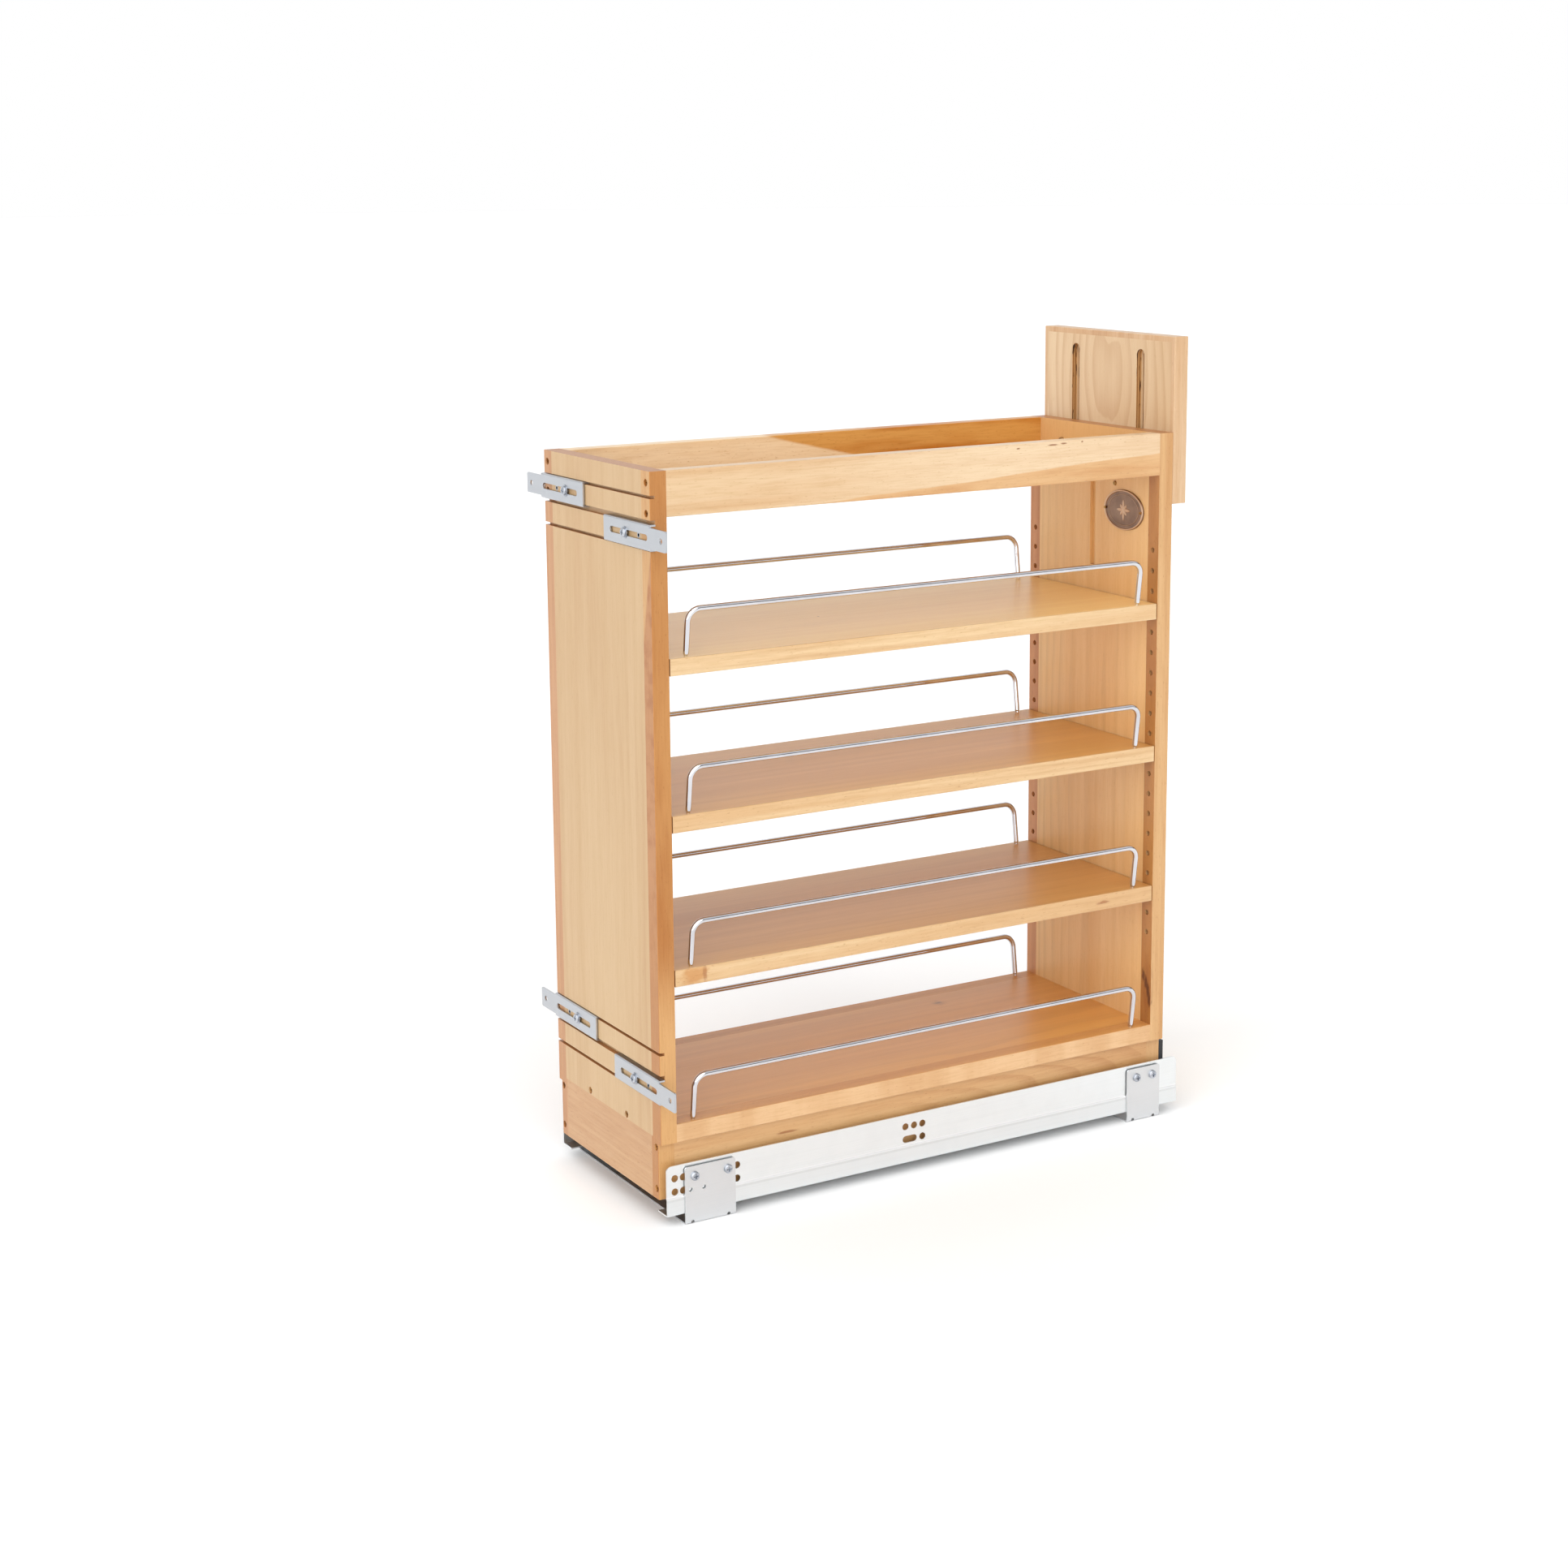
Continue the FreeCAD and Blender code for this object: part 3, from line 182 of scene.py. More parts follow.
class Graph:
    """A material's node graph over object coordinates, which are the CAD frame's own metres."""

    def __init__(self, name):
        self.material = bpy.data.materials.new(name)
        self.material.use_nodes = True
        self.tree = self.material.node_tree
        self.tree.nodes.clear()
        self.shader = self.node("ShaderNodeBsdfPrincipled")
        output = self.node("ShaderNodeOutputMaterial")
        self.tree.links.new(self.shader.outputs[0], output.inputs[0])
        coordinates = self.node("ShaderNodeTexCoord")
        self.place = coordinates.outputs["Object"]
        self.normal = coordinates.outputs["Normal"]
        self.axes = self.split(self.place)

    def node(self, kind):
        return self.tree.nodes.new(kind)

    def feed(self, socket, value):
        if isinstance(value, bpy.types.NodeSocket):
            self.tree.links.new(value, socket)
        else:
            socket.default_value = value

    def set(self, **values):
        for name, value in values.items():
            self.feed(self.shader.inputs[name.replace("_", " ")], value)

    def split(self, vector):
        node = self.node("ShaderNodeSeparateXYZ")
        self.feed(node.inputs[0], vector)
        return list(node.outputs)

    def math(self, operation, first, second=0.0):
        node = self.node("ShaderNodeMath")
        node.operation = operation
        self.feed(node.inputs[0], first)
        self.feed(node.inputs[1], second)
        return node.outputs[0]

    def stretched(self, scale, shift=(0, 0, 0)):
        node = self.node("ShaderNodeMapping")
        self.feed(node.inputs["Vector"], self.place)
        node.inputs["Scale"].default_value = scale
        node.inputs["Location"].default_value = shift
        return node.outputs[0]

    def noise(self, scale, shift=(0, 0, 0), detail=2.0, rough=0.5, warp=0.0):
        """Noise whose cells are 1/scale metres along each axis."""
        node = self.node("ShaderNodeTexNoise")
        self.feed(node.inputs["Vector"], self.stretched(scale, shift))
        node.inputs["Scale"].default_value = 1.0
        node.inputs["Detail"].default_value = detail
        node.inputs["Roughness"].default_value = rough
        node.inputs["Distortion"].default_value = warp
        return node.outputs["Fac"]

    def step(self, value, low, high):
        """0 below low, 1 above high, smooth between; low above high turns it round."""
        node = self.node("ShaderNodeMapRange")
        node.interpolation_type = "SMOOTHSTEP"
        self.feed(node.inputs["Value"], value)
        turned = low > high
        node.inputs["From Min"].default_value = min(low, high)
        node.inputs["From Max"].default_value = max(low, high)
        node.inputs["To Min"].default_value = 1.0 if turned else 0.0
        node.inputs["To Max"].default_value = 0.0 if turned else 1.0
        return node.outputs[0]

    def mix(self, share, first, second, blend="MIX"):
        node = self.node("ShaderNodeMix")
        node.data_type = "RGBA"
        node.blend_type = blend
        self.feed(node.inputs[0], share)
        self.feed(node.inputs[6], first)
        self.feed(node.inputs[7], second)
        return node.outputs[2]

    def spot(self, centre, reach, wobble=0.0, seed=0.0):
        """1 at a point, falling to 0 at reach metres from it along each axis."""
        x, y, z = (1.0 / r for r in reach)
        node = self.node("ShaderNodeVectorMath")
        node.operation = "LENGTH"
        shift = [-c * s for c, s in zip(centre, (x, y, z))]
        self.feed(node.inputs[0], self.stretched((x, y, z), shift))
        distance = node.outputs["Value"]
        if wobble:
            rough = self.noise((x * 1.7, y * 1.7, z * 1.7), (seed, seed, seed), 3.0)
            offset = self.math("SUBTRACT", rough, 0.5)
            distance = self.math("ADD", distance, self.math("MULTIPLY", offset, wobble))
        return self.step(distance, 1.0, 0.35)

    def bump(self, height, strength, distance):
        node = self.node("ShaderNodeBump")
        node.inputs["Strength"].default_value = strength
        node.inputs["Distance"].default_value = distance
        self.feed(node.inputs["Height"], height)
        self.feed(self.shader.inputs["Normal"], node.outputs[0])


def grain_scale(along, across, lengthwise):
    scale = [across, across, across]
    scale[along] = lengthwise
    return scale


def wood(name, along, pale, tan, line, seed, rings=(0.0, 0.0, 0.0), ring_tilt=0.09, ring_count=150.0,
         ring_depth=0.30, ring_cover=0.0, streak=0.38, flecks=0.5, stripes=0.9, patch=(6.0, 1.2), end=None,
         marks=(), gloss=0.35, coat=0.22, rough=0.42, sway=0.030):
    """Lacquered maple. along is the grain's axis, rings the point that the growth rings close round.

    ring_tilt below 1 draws the rings out along the grain, and ring_count is how many there are in a metre.
    streak, flecks and stripes are the strength of the fibres, the pores and the broad stripes, and sway is
    how far the rings wander, in metres.
    """
    g = Graph(name)
    shift = (seed * 1.7, seed * 2.3, seed * 3.1)
    broad = g.noise(grain_scale(along, patch[0], patch[1]), shift, 3.0, 0.55, 0.6)
    stripe = g.noise(grain_scale(along, *STRIPES), shift, 3.0, 0.5)
    cloud = g.math("SUBTRACT", broad, 0.5)
    blend = g.math("ADD", cloud, g.math("MULTIPLY", g.math("SUBTRACT", stripe, 0.5), stripes))
    base = g.mix(g.step(blend, -0.21, 0.21), pale, tan)

    scale = grain_scale(along, 1.0, ring_tilt)
    centre = [-c * s for c, s in zip(rings, scale)]
    radius = g.node("ShaderNodeVectorMath")
    radius.operation = "LENGTH"
    g.feed(radius.inputs[0], g.stretched(scale, centre))
    wander = g.noise(grain_scale(along, *WANDER), shift, 2.0)
    ripple = g.noise(grain_scale(along, *RIPPLE), shift, 2.0)
    distance = g.math("ADD", radius.outputs["Value"], g.math("MULTIPLY", wander, sway))
    distance = g.math("ADD", distance, g.math("MULTIPLY", ripple, RIPPLE_DEPTH))
    phase = g.math("FRACT", g.math("MULTIPLY", distance, ring_count))
    crest = g.math("MULTIPLY", g.step(phase, 0.35, 0.92), g.step(phase, 1.0, 0.93))
    patches = g.noise(grain_scale(along, *RING_PATCHES), (seed, seed, seed), 1.0)
    strength = g.step(patches, 0.35 - ring_cover, 0.75 - ring_cover)
    base = g.mix(g.math("MULTIPLY", g.math("MULTIPLY", crest, strength), ring_depth), base, line)

    for mark in marks:
        base = mark(g, base)

    fibre = g.noise(grain_scale(along, *FIBRES), shift, 4.0, 0.65)
    shade = g.mix(g.math("MULTIPLY", g.step(fibre, 0.40, 0.70), streak), WHITE, FIBRE_TINT)
    base = g.mix(1.0, base, shade, "MULTIPLY")
    pore = g.noise(grain_scale(along, *PORES), shift, 1.0)
    dashes = g.step(pore, 0.66, 0.76)
    share = g.math("MULTIPLY", dashes, flecks)
    base = g.mix(share, base, g.mix(1.0, base, PORE_TINT, "MULTIPLY"))

    if end:
        facing = g.math("ABSOLUTE", g.split(g.normal)[along])
        speckle = g.noise((900.0, 900.0, 900.0), shift, 2.0)
        end_wood = g.mix(g.math("MULTIPLY", g.step(speckle, 0.45, 0.65), 0.35), end, line)
        base = g.mix(g.step(facing, 0.8, 0.95), base, end_wood)

    height = g.math("SUBTRACT", fibre, g.math("MULTIPLY", dashes, 0.6))
    g.bump(height, strength=0.22, distance=0.00012)
    g.set(Base_Color=base, Roughness=g.math("ADD", rough - 0.05, g.math("MULTIPLY", fibre, 0.10)))
    g.set(Coat_Weight=gloss, Coat_Roughness=coat, Coat_IOR=1.5, Specular_IOR_Level=0.35)
    return g.material


def heartwood(edge, colour, dark, width, wander, seed):
    """A darker zone. edge(g) gives metres inside the zone, and its border wanders along the board."""
    def mark(g, base):
        inside = edge(g)
        drift = g.math("SUBTRACT", g.noise((18.0, 9.0, 18.0), (seed, seed, seed), 3.0), 0.5)
        inside = g.math("ADD", inside, g.math("MULTIPLY", drift, wander * 2))
        mask = g.step(inside, -width, width)
        cloud = g.noise((60.0, 7.0, 60.0), (seed, 0.0, seed), 3.0)
        return g.mix(mask, base, g.mix(g.step(cloud, 0.40, 0.66), colour, dark))
    return mark


def sloping(axis_a, gain_a, axis_b, gain_b, offset):
    """Metres past a slanted line: gain_a * a + gain_b * b + offset."""
    def edge(g):
        first = g.math("MULTIPLY", g.axes[axis_a], gain_a)
        second = g.math("MULTIPLY", g.axes[axis_b], gain_b)
        return g.math("ADD", g.math("ADD", first, second), offset)
    return edge


def zone(axis, low, high, colour, share=1.0, facing=None):
    """A tone that comes in between low and high along an axis, on all faces or those facing (axis, sign)."""
    def mark(g, base):
        amount = g.math("MULTIPLY", g.step(g.axes[axis], low, high), share)
        if facing:
            normal = g.math("MULTIPLY", g.split(g.normal)[facing[0]], facing[1])
            amount = g.math("MULTIPLY", amount, g.step(normal, 0.4, 0.6))
        return g.mix(amount, base, colour)
    return mark


def knot(centre, reach, colour, share=0.8, wobble=0.8, seed=1.0):
    """A mark of one colour round a point, with an edge made uneven by wobble."""
    def mark(g, base):
        return g.mix(g.math("MULTIPLY", g.spot(centre, reach, wobble, seed), share), base, colour)
    return mark


def ply_edges(g, base):
    """The walls cut through a plywood panel show its layers, pale and dark by turns, with a few gaps."""
    wall = g.step(g.math("ABSOLUTE", g.split(g.normal)[X]), 0.4, 0.6)
    layer = g.math("FRACT", g.math("MULTIPLY", g.axes[Y], PLY_PAIRS))
    ply = g.mix(g.step(layer, 0.40, 0.60), tone(214, 170, 114), tone(158, 110, 64))
    gap = g.step(g.noise((60.0, 420.0, 60.0), (3.0, 1.0, 2.0), 3.0), 0.56, 0.62)
    return g.mix(wall, base, g.mix(gap, ply, tone(62, 36, 20)))


def side_face(axis, sign, colour, second):
    """The faces whose normal points along one direction, in a tone of their own."""
    def mark(g, base):
        facing = g.math("MULTIPLY", g.split(g.normal)[axis], sign)
        cloud = g.noise((30.0, 30.0, 6.0), (2.0, 4.0, 6.0), 3.0)
        return g.mix(g.step(facing, 0.4, 0.6), base, g.mix(g.step(cloud, 0.35, 0.65), colour, second))
    return mark


BROWN = tone(156, 96, 50)
DARK = tone(88, 46, 24)
END = tone(170, 114, 66)


def finish_wood():
    """Each wooden node's own board. The marks are where the photographed boards have theirs."""
    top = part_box("tray_rail_right")[1].z
    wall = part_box("rear_panel")[0].y
    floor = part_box("bottom_shelf")[1].z
    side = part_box("tray_rail_right")[1].x
    panel = dict(line=tone(176, 128, 84), end=END, ring_depth=0.24, flecks=0.22, stripes=0.45,
                 patch=(9.0, 0.9), gloss=0.2)
    finish = {}
    finish["front_panel"] = wood(
        "veneer_front", Z, tone(200, 169, 127), tone(191, 156, 112), seed=1.0,
        rings=(-0.02, -0.32, 0.22), ring_tilt=0.045, ring_count=85.0, streak=0.20, **panel)
    # Painted light: the rear panel's tone is paler than the front panel's, standing for more light reaching
    # the inside of the bay than the lamps give.
    finish["rear_panel"] = wood(
        "veneer_rear", Z, tone(240, 201, 144), tone(231, 186, 126), seed=2.0,
        rings=(0.015, 0.20, 0.36), ring_tilt=0.05, ring_count=95.0, streak=0.20,
        marks=[zone(Z, top - 0.034, top - 0.030, tone(214, 168, 112), 0.9, (Y, -1.0))], **panel)
    finish["extension_panel"] = wood(
        "veneer_extension", Z, tone(218, 192, 156), tone(208, 177, 138), seed=3.3,
        rings=(0.0, 0.24, 0.70), ring_tilt=0.45, ring_count=80.0, ring_cover=0.25, streak=0.16, sway=0.055,
        marks=[ply_edges], **dict(panel, ring_depth=0.32, stripes=0.15))
    finish["extension_edging"] = wood("band_extension", Z, tone(212, 180, 144), tone(202, 163, 122),
                                      tone(176, 128, 84), 4.0, flecks=0.3)
    finish["front_cross_board"] = wood("board_front", X, tone(203, 163, 120), tone(190, 145, 100), BROWN, 5.0,
                                       rings=(0.0, -0.29, 0.085), ring_tilt=0.20, ring_count=190.0,
                                       ring_depth=0.26, end=END)

    # The stiles. The right-hand ones show their inner and front faces in the photograph.
    stile = dict(along=Z, line=BROWN, end=END, ring_depth=0.16, patch=(30.0, 3.0), gloss=0.2)
    finish["front_stile_left"] = wood("stile_front_left", pale=tone(195, 147, 105), tan=tone(183, 131, 88),
                                      seed=6.0, **stile)
    finish["front_stile_right"] = wood(
        "stile_front_right", pale=tone(201, 157, 104), tan=tone(191, 140, 85), seed=7.0,
        marks=[heartwood(sloping(X, 0.986, Z, -0.2, 0.0176), tone(182, 128, 80), tone(168, 110, 62),
                         width=0.002, wander=0.002, seed=2.0),
               side_face(X, 1.0, tone(190, 134, 74), tone(174, 112, 52)),
               # Painted light: the lower part of the stile's +X face is paler, fully below 0.16 m and fading
               # out by 0.26 m.
               zone(Z, 0.260, 0.160, tone(214, 168, 112), 0.75, (X, 1.0)),
               zone(Z, 0.360, 0.180, tone(180, 124, 70), 0.85, (Y, -1.0))], **stile)
    finish["rear_stile_left"] = wood("stile_rear_left", pale=tone(210, 150, 100), tan=tone(196, 134, 84),
                                     seed=8.0, **stile)
    streaks = [knot((x, wall, z), (0.0030, 0.004, 0.009), DARK, 0.85, 0.9, 10 * x)
               for x, z in ((0.0885, 0.136), (0.0925, 0.130), (0.0955, 0.123), (0.0975, 0.114))]
    finish["rear_stile_right"] = wood(
        "stile_rear_right", pale=tone(210, 168, 118), tan=tone(198, 150, 98), seed=9.0,
        marks=[side_face(Y, -1.0, tone(188, 132, 72), tone(174, 116, 58)),
               knot((0.094, wall, 0.125), (0.009, 0.006, 0.036), BROWN, 0.6, 0.9, 2.0)] + streaks, **stile)

    # The tray and the skirts.
    rail = dict(along=Y, end=END, patch=(16.0, 3.0))
    flecks = [knot((side, at, top - down), (0.004, long, 0.0010), tone(134, 78, 40), 0.85, 0.7, at * 90)
              for at, down, long in ((0.091, 0.0040, 0.0024), (0.128, 0.0030, 0.0072),
                                     (0.140, 0.0024, 0.0044), (0.160, 0.0020, 0.0016))]
    finish["tray_rail_right"] = wood(
        "rail_near", pale=tone(217, 186, 146), tan=tone(205, 164, 118), line=tone(186, 138, 90), seed=10.0,
        ring_depth=0.22, rings=(0.09, 0.4, 0.70), ring_tilt=0.06,
        marks=[zone(Y, -0.22, 0.10, tone(232, 210, 178), 0.5),
               heartwood(sloping(Z, -1.0, Y, 0.055, 0.6170), tone(213, 171, 122), tone(203, 154, 102),
                         width=0.0008, wander=0.003, seed=5.0)] + flecks, **rail)
    finish["tray_rail_left"] = wood(
        "rail_far", pale=tone(232, 207, 172), tan=tone(226, 196, 156), line=tone(170, 112, 56), seed=11.0,
        rings=(-0.085, 0.30, 0.50), ring_tilt=0.22, ring_count=80.0, ring_depth=0.30,
        marks=[heartwood(sloping(Y, 0.2355, Z, 1.0, -0.6345), tone(206, 150, 76), tone(184, 112, 30),
                         width=0.0015, wander=0.004, seed=8.0)], **rail)
    finish["tray_floor"] = wood("tray_floor", Y, tone(222, 188, 144), tone(212, 172, 126), BROWN, 12.0)
    finish["skirt_right"] = wood(
        "skirt_near", Y, tone(213, 170, 119), tone(202, 153, 101), tone(172, 114, 62), 13.0,
        rings=(0.10, -0.12, 0.052), ring_tilt=0.13, ring_count=160.0, ring_depth=0.38,
        marks=[knot((0.0945, -0.146, 0.060), (0.004, 0.014, 0.0016), BROWN, 0.8, 0.7, 2.0)])
    finish["skirt_left"] = wood("skirt_far", Y, tone(208, 165, 117), tone(196, 148, 98), BROWN, 14.0)

    # The shelves are glossier than the rest, and each has its solid bands.
    shelf = dict(along=Y, line=tone(176, 112, 54), gloss=0.58, coat=0.28, rough=0.38, ring_depth=0.20,
                 ring_tilt=0.06, ring_count=110.0, streak=0.12, flecks=0.12, end=END)
    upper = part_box("upper_shelf")[1].z
    shelf_marks = {
        "upper_shelf": [knot((-0.011, -0.048, upper), (0.0012, 0.0016, 0.01), DARK, 0.8, 0.4)],
        "bottom_shelf": [knot((-0.060, 0.114, floor), (0.010, 0.009, 0.01), BROWN, 0.35, 1.0),
                         knot((-0.060, 0.114, floor), (0.0025, 0.006, 0.01), DARK, 0.5, 0.8)],
    }
    # Painted light and shade: the four shelves are one veneer. The upper shelf's paler tone stands for the
    # light it gets, and the darker tones of the three below it stand for the shade of the shelf above each.
    boards = {"upper": (tone(250, 213, 144), tone(244, 203, 132)),
              "middle": (tone(216, 164, 92), tone(206, 152, 80)),
              "lower": (tone(214, 160, 90), tone(204, 148, 78)),
              "bottom": (tone(226, 166, 86), tone(216, 154, 76))}
    for number, (name, (pale, tan)) in enumerate(boards.items()):
        board = name + "_shelf"
        finish[board] = wood(
            "veneer_" + name, pale=pale, tan=tan, seed=20.0 + 3 * number,
            rings=(0.03 - 0.02 * number, 0.1, -0.25), marks=shelf_marks.get(board, ()), **shelf)
        edge = dict(along=Y, line=tone(180, 128, 76), end=END, ring_depth=0.2)
        # Painted shade: the bottom shelf's right band takes the bottom shelf's darker tone, except on its
        # outward (+X) face, whose paler tone matches the other bands.
        if name == "bottom":
            edge.update(pale=tone(214, 154, 86), tan=tone(202, 140, 72), gloss=0.45)
            marks = [side_face(X, 1.0, tone(220, 180, 134), tone(210, 166, 118))]
        else:
            edge.update(pale=tone(224, 194, 150), tan=tone(210, 170, 122))
            marks = []
        finish[board + "_band_left"] = wood("band_far_" + name, seed=40.0 + number, **edge)
        if name == "lower":
            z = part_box(board)[0].z + 0.008
            marks = [knot((side, -0.238, z), (0.004, 0.016, 0.010), tone(196, 136, 72), 0.75, 1.2, 3.0),
                     knot((side, -0.228, z), (0.004, 0.003, 0.009), BROWN, 0.6, 1.0, 6.0),
                     knot((side, 0.190, z - 0.001), (0.004, 0.010, 0.0022), BROWN, 0.8, 1.0, 5.0)]
        finish[board + "_band_right"] = wood("band_near_" + name, seed=50.0 + number, marks=marks, **edge)
    return finish


def zinc(name, colour, rough, along, mottle=0.06, bump=0.05, ridge=None):
    """Bright zinc plate: a faint crystal mottle, rolling lines along the strip and a soft sheen.

    ridge is the height of a rolled ridge, with a painted highlight along its crest, a painted shade line just
    under it and painted shade over the band below it.
    """
    g = Graph(name)
    cloud = g.noise((45.0, 45.0, 45.0), (1.0, 2.0, 3.0), 3.0, 0.6)
    dim = tuple(c * 0.82 for c in colour[:3]) + (1.0,)
    base = g.mix(g.math("MULTIPLY", g.step(cloud, 0.35, 0.70), mottle * 4), colour, dim)
    lines = g.noise(grain_scale(along, 900.0, 6.0), (0, 0, 0), 2.0)
    base = g.mix(g.math("MULTIPLY", g.step(lines, 0.45, 0.70), mottle * 4), base, dim)
    if ridge:
        above = g.math("SUBTRACT", g.axes[Z], ridge)
        # Painted shade: the band below the ridge is darkened, and darker still in a line just under the
        # ridge.
        painted_shade_below_ridge = g.step(above, -0.0004, -0.0016)
        line = g.math("MULTIPLY", painted_shade_below_ridge, g.step(above, -0.0036, -0.0022))
        base = g.mix(g.math("MULTIPLY", painted_shade_below_ridge, 0.30), base, dim)
        base = g.mix(g.math("MULTIPLY", line, 0.75), base, dim)
        # Painted highlight: a near-white band along the ridge's crest.
        crest = g.math("MULTIPLY", g.step(above, -0.0006, 0.0002), g.step(above, 0.0018, 0.0009))
        base = g.mix(g.math("MULTIPLY", crest, 0.8), base, (0.97, 0.97, 0.98, 1))
    g.bump(lines, bump, 0.0001)
    g.set(Base_Color=base, Metallic=1.0,
          Roughness=g.math("ADD", rough - 0.03, g.math("MULTIPLY", cloud, 0.06)))
    return g.material


def chrome():
    g = Graph("polished_chrome")
    cloud = g.noise((30.0, 30.0, 30.0), (0, 0, 0), 2.0)
    g.bump(g.noise((300.0, 300.0, 300.0), (0, 0, 0), 2.0), 0.02, 0.00005)
    base = g.mix(g.step(cloud, 0.35, 0.65), (0.64, 0.64, 0.67, 1), (0.71, 0.71, 0.74, 1))
    g.set(Base_Color=base, Metallic=1.0, Roughness=g.math("ADD", 0.05, g.math("MULTIPLY", cloud, 0.03)))
    return g.material


def plain_metal(name, colour, second, rough):
    g = Graph(name)
    cloud = g.noise((160.0, 160.0, 160.0), (3, 1, 2), 3.0)
    g.bump(g.noise((900.0, 900.0, 900.0), (0, 0, 0), 2.0), 0.06, 0.00005)
    g.set(Base_Color=g.mix(g.step(cloud, 0.35, 0.65), colour, second), Metallic=1.0,
          Roughness=g.math("ADD", rough - 0.05, g.math("MULTIPLY", cloud, 0.1)))
    return g.material


def plastic(name, colour, rough):
    g = Graph(name)
    grain = g.noise((1400.0, 1400.0, 1400.0), (0, 0, 0), 2.0)
    g.bump(grain, 0.15, 0.00008)
    lighter = tuple(c * 1.2 + 0.004 for c in colour[:3]) + (1.0,)
    g.set(Base_Color=g.mix(g.step(grain, 0.4, 0.7), colour, lighter),
          Roughness=g.math("ADD", rough, g.math("MULTIPLY", grain, 0.1)))
    return g.material


def bronze():
    """Brushed bronze, darker in the hollows of the relief and lighter on its rubbed edges."""
    g = Graph("bronze_badge")
    brush = g.noise((60.0, 60.0, 2600.0), (0, 0, 0), 3.0, 0.6)
    cloud = g.noise((90.0, 90.0, 90.0), (2, 5, 1), 3.0)
    base = g.mix(g.step(cloud, 0.35, 0.65), tone(130, 104, 88), tone(146, 118, 100))
    height = g.math("MULTIPLY", g.axes[Y], -1.0)
    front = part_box("badge")[0].y
    worn = g.step(height, -front - 0.00065, -front - 0.00015)
    base = g.mix(g.math("MULTIPLY", worn, 0.9), base, tone(224, 194, 166))
    g.bump(brush, 0.08, 0.0001)
    g.set(Base_Color=base, Metallic=0.85, Roughness=g.math("ADD", 0.36, g.math("MULTIPLY", brush, 0.12)))
    return g.material


def finish_nodes():
    """Gives every CAD node its material. The badge gets none, because a piece of its own stands for it."""
    finish = finish_wood()
    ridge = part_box("cabinet_member_right")[0].z + RIDGE_ABOVE_BASE
    strip = zinc("zinc_strip", (0.83, 0.86, 0.87, 1), 0.30, Y, 0.03, 0.02, ridge)
    plate = zinc("zinc_plate", (0.70, 0.71, 0.72, 1), 0.40, Y, 0.02)
    door = zinc("zinc_door_bracket", (0.54, 0.56, 0.59, 1), 0.38, X, 0.02)
    rods = chrome()
    plated = plain_metal("plated_screw", (0.54, 0.57, 0.62, 1), (0.42, 0.45, 0.50, 1), 0.30)
    brass = plain_metal("brass_screw", tone(190, 150, 92), tone(150, 106, 56), 0.38)
    black = plastic("black_plastic", (0.016, 0.016, 0.018, 1), 0.42)
    nylon = plastic("roller_nylon", (0.80, 0.80, 0.77, 1), 0.45)
    orange = plastic("orange_clip", tone(216, 96, 24), 0.40)
    starts = (("cabinet_member", strip), ("middle_member", strip), ("drawer_member", strip),
              ("front_floor_bracket", plate), ("rear_floor_bracket", plate), ("door_bracket_screws", plated),
              ("door_bracket_inserts", plated), ("door_bracket", door), ("floor_bracket_screws", plated),
              ("shelf_pins", plated), ("extension_clamp_nuts", plated), ("extension_clamp_screws", brass),
              ("front_panel_screws", brass), ("rear_panel_screws", brass), ("badge_nails", brass),
              ("rear_hooks", black), ("locking_clips", orange), ("lower_roller_cages", nylon),
              ("upper_roller_cages", nylon))
    for name, node in nodes.items():
        material = finish.get(name)
        if material is None and "_rail_" in name:
            material = rods
        if material is None:
            material = next((m for start, m in starts if name.startswith(start)), None)
        if material is not None:
            node.data.materials.clear()
            node.data.materials.append(material)


# ---- badge ----
def leaf_height(u, v, angle, length, width):
    """Height, 0 to 1, of a raised leaf that starts at the middle, at a point in millimetres from it."""
    along = u * math.cos(angle) + v * math.sin(angle)
    across = -u * math.sin(angle) + v * math.cos(angle)
    t = along / length
    if not 0.0 < t < 1.0:
        return 0.0
    half = width * math.sin(math.pi * t) ** 0.8
    if half <= 0 or abs(across) > half:
        return 0.0
    body = 1.0 - (across / half) ** 2
    vein = 0.45 * math.exp(-(across / (0.16 * width)) ** 2)
    return max(0.0, body - vein)


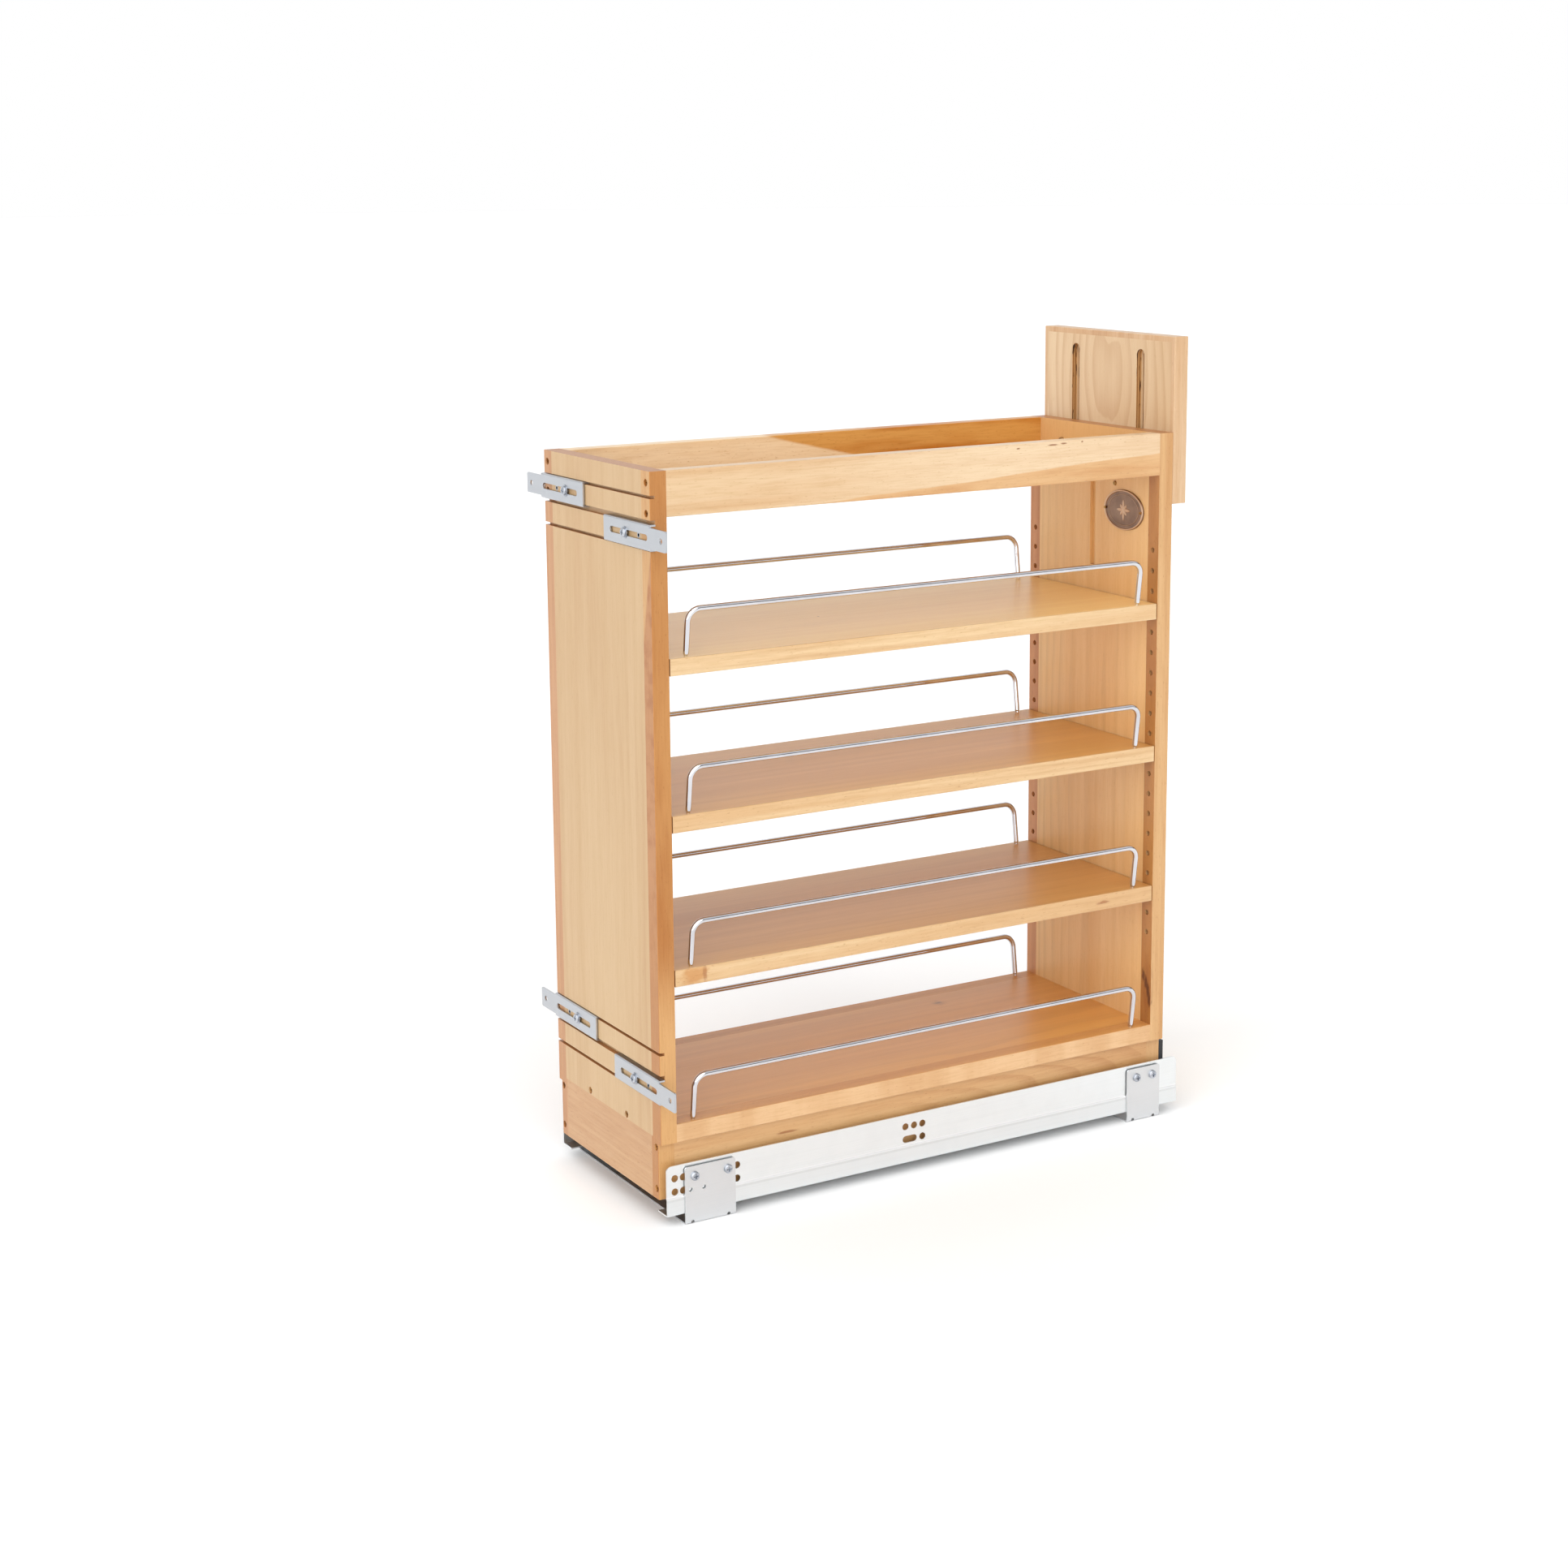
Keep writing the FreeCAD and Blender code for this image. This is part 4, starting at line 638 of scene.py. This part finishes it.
def relief_height(u, v, half_width, half_height):
    """A plain eight-leaved rosette in the middle, inside one thin raised oval line, in millimetres."""
    button, leaf_width, long_leaf, short_leaf, leaves = 1.7, 1.7, 10.0, 7.0, 8
    line_at, line_width, line_height = 0.76, 0.45, 0.7
    height = max(0.0, 1.0 - (math.hypot(u, v) / button) ** 2)
    for number in range(leaves):
        length = long_leaf if number % 2 == 0 else short_leaf
        height = max(height, leaf_height(u, v, number * 2 * math.pi / leaves, length, leaf_width))
    oval = math.hypot(u / half_width, v / half_height)
    away = abs(oval - line_at) * (half_width + half_height) / 2
    return max(height, line_height * max(0.0, 1.0 - (away / line_width) ** 2))


def make_badge():
    """An oval plate with a rolled rim and a shallow relief, standing for the CAD badge."""
    low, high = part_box("badge")
    centre = (low + high) / 2
    half_width, half_height = (high.x - low.x) / 2, (high.z - low.z) / 2
    back, front = high.y, low.y
    rings, spokes = 64, 240
    rim, rim_depth, field_depth, dome, relief = 0.0022, 0.00125, 0.0008, 0.00025, 0.00045
    shape = bmesh.new()

    def surface(reach, angle):
        x = half_width * reach * math.cos(angle)
        z = half_height * reach * math.sin(angle)
        edge = (1.0 - reach) * (half_width + half_height) / 2
        if edge < rim:
            turned = (edge / rim) * 2 - 1
            depth = rim_depth * (1.0 - math.sqrt(max(0.0, 1.0 - turned * turned)) ** 0.8)
            if turned > 0:
                depth = min(depth, field_depth)
        else:
            raised = relief_height(x * 1000, z * 1000, half_width * 1000, half_height * 1000)
            depth = field_depth - dome * (1.0 - reach ** 2) - relief * raised
        return Vector((centre.x + x, front + depth, centre.z + z))

    middle = shape.verts.new(surface(0.0, 0.0))
    loops = []
    for ring in range(1, rings + 1):
        reach = (ring / rings) ** 0.85
        loops.append([shape.verts.new(surface(reach, 2 * math.pi * s / spokes)) for s in range(spokes)])
    loops.append([shape.verts.new((v.co.x, back, v.co.z)) for v in loops[-1]])
    for s in range(spokes):
        after = (s + 1) % spokes
        shape.faces.new((middle, loops[0][after], loops[0][s]))
        for inner, outer in zip(loops, loops[1:]):
            shape.faces.new((inner[s], inner[after], outer[after], outer[s]))
    shape.faces.new(loops[-1])
    bmesh.ops.recalc_face_normals(shape, faces=shape.faces)
    mesh = bpy.data.meshes.new("badge_plate")
    shape.to_mesh(mesh)
    shape.free()
    for face in mesh.polygons:
        face.use_smooth = len(face.vertices) < 5
    badge = bpy.data.objects.new("badge_plate", mesh)
    scene.collection.objects.link(badge)
    mesh.materials.append(bronze())
    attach(badge, "box")
    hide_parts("badge")


make_camera()
make_world()
make_lights()
make_floor()
finish_nodes()
make_badge()
scene.view_settings.view_transform = "Standard"
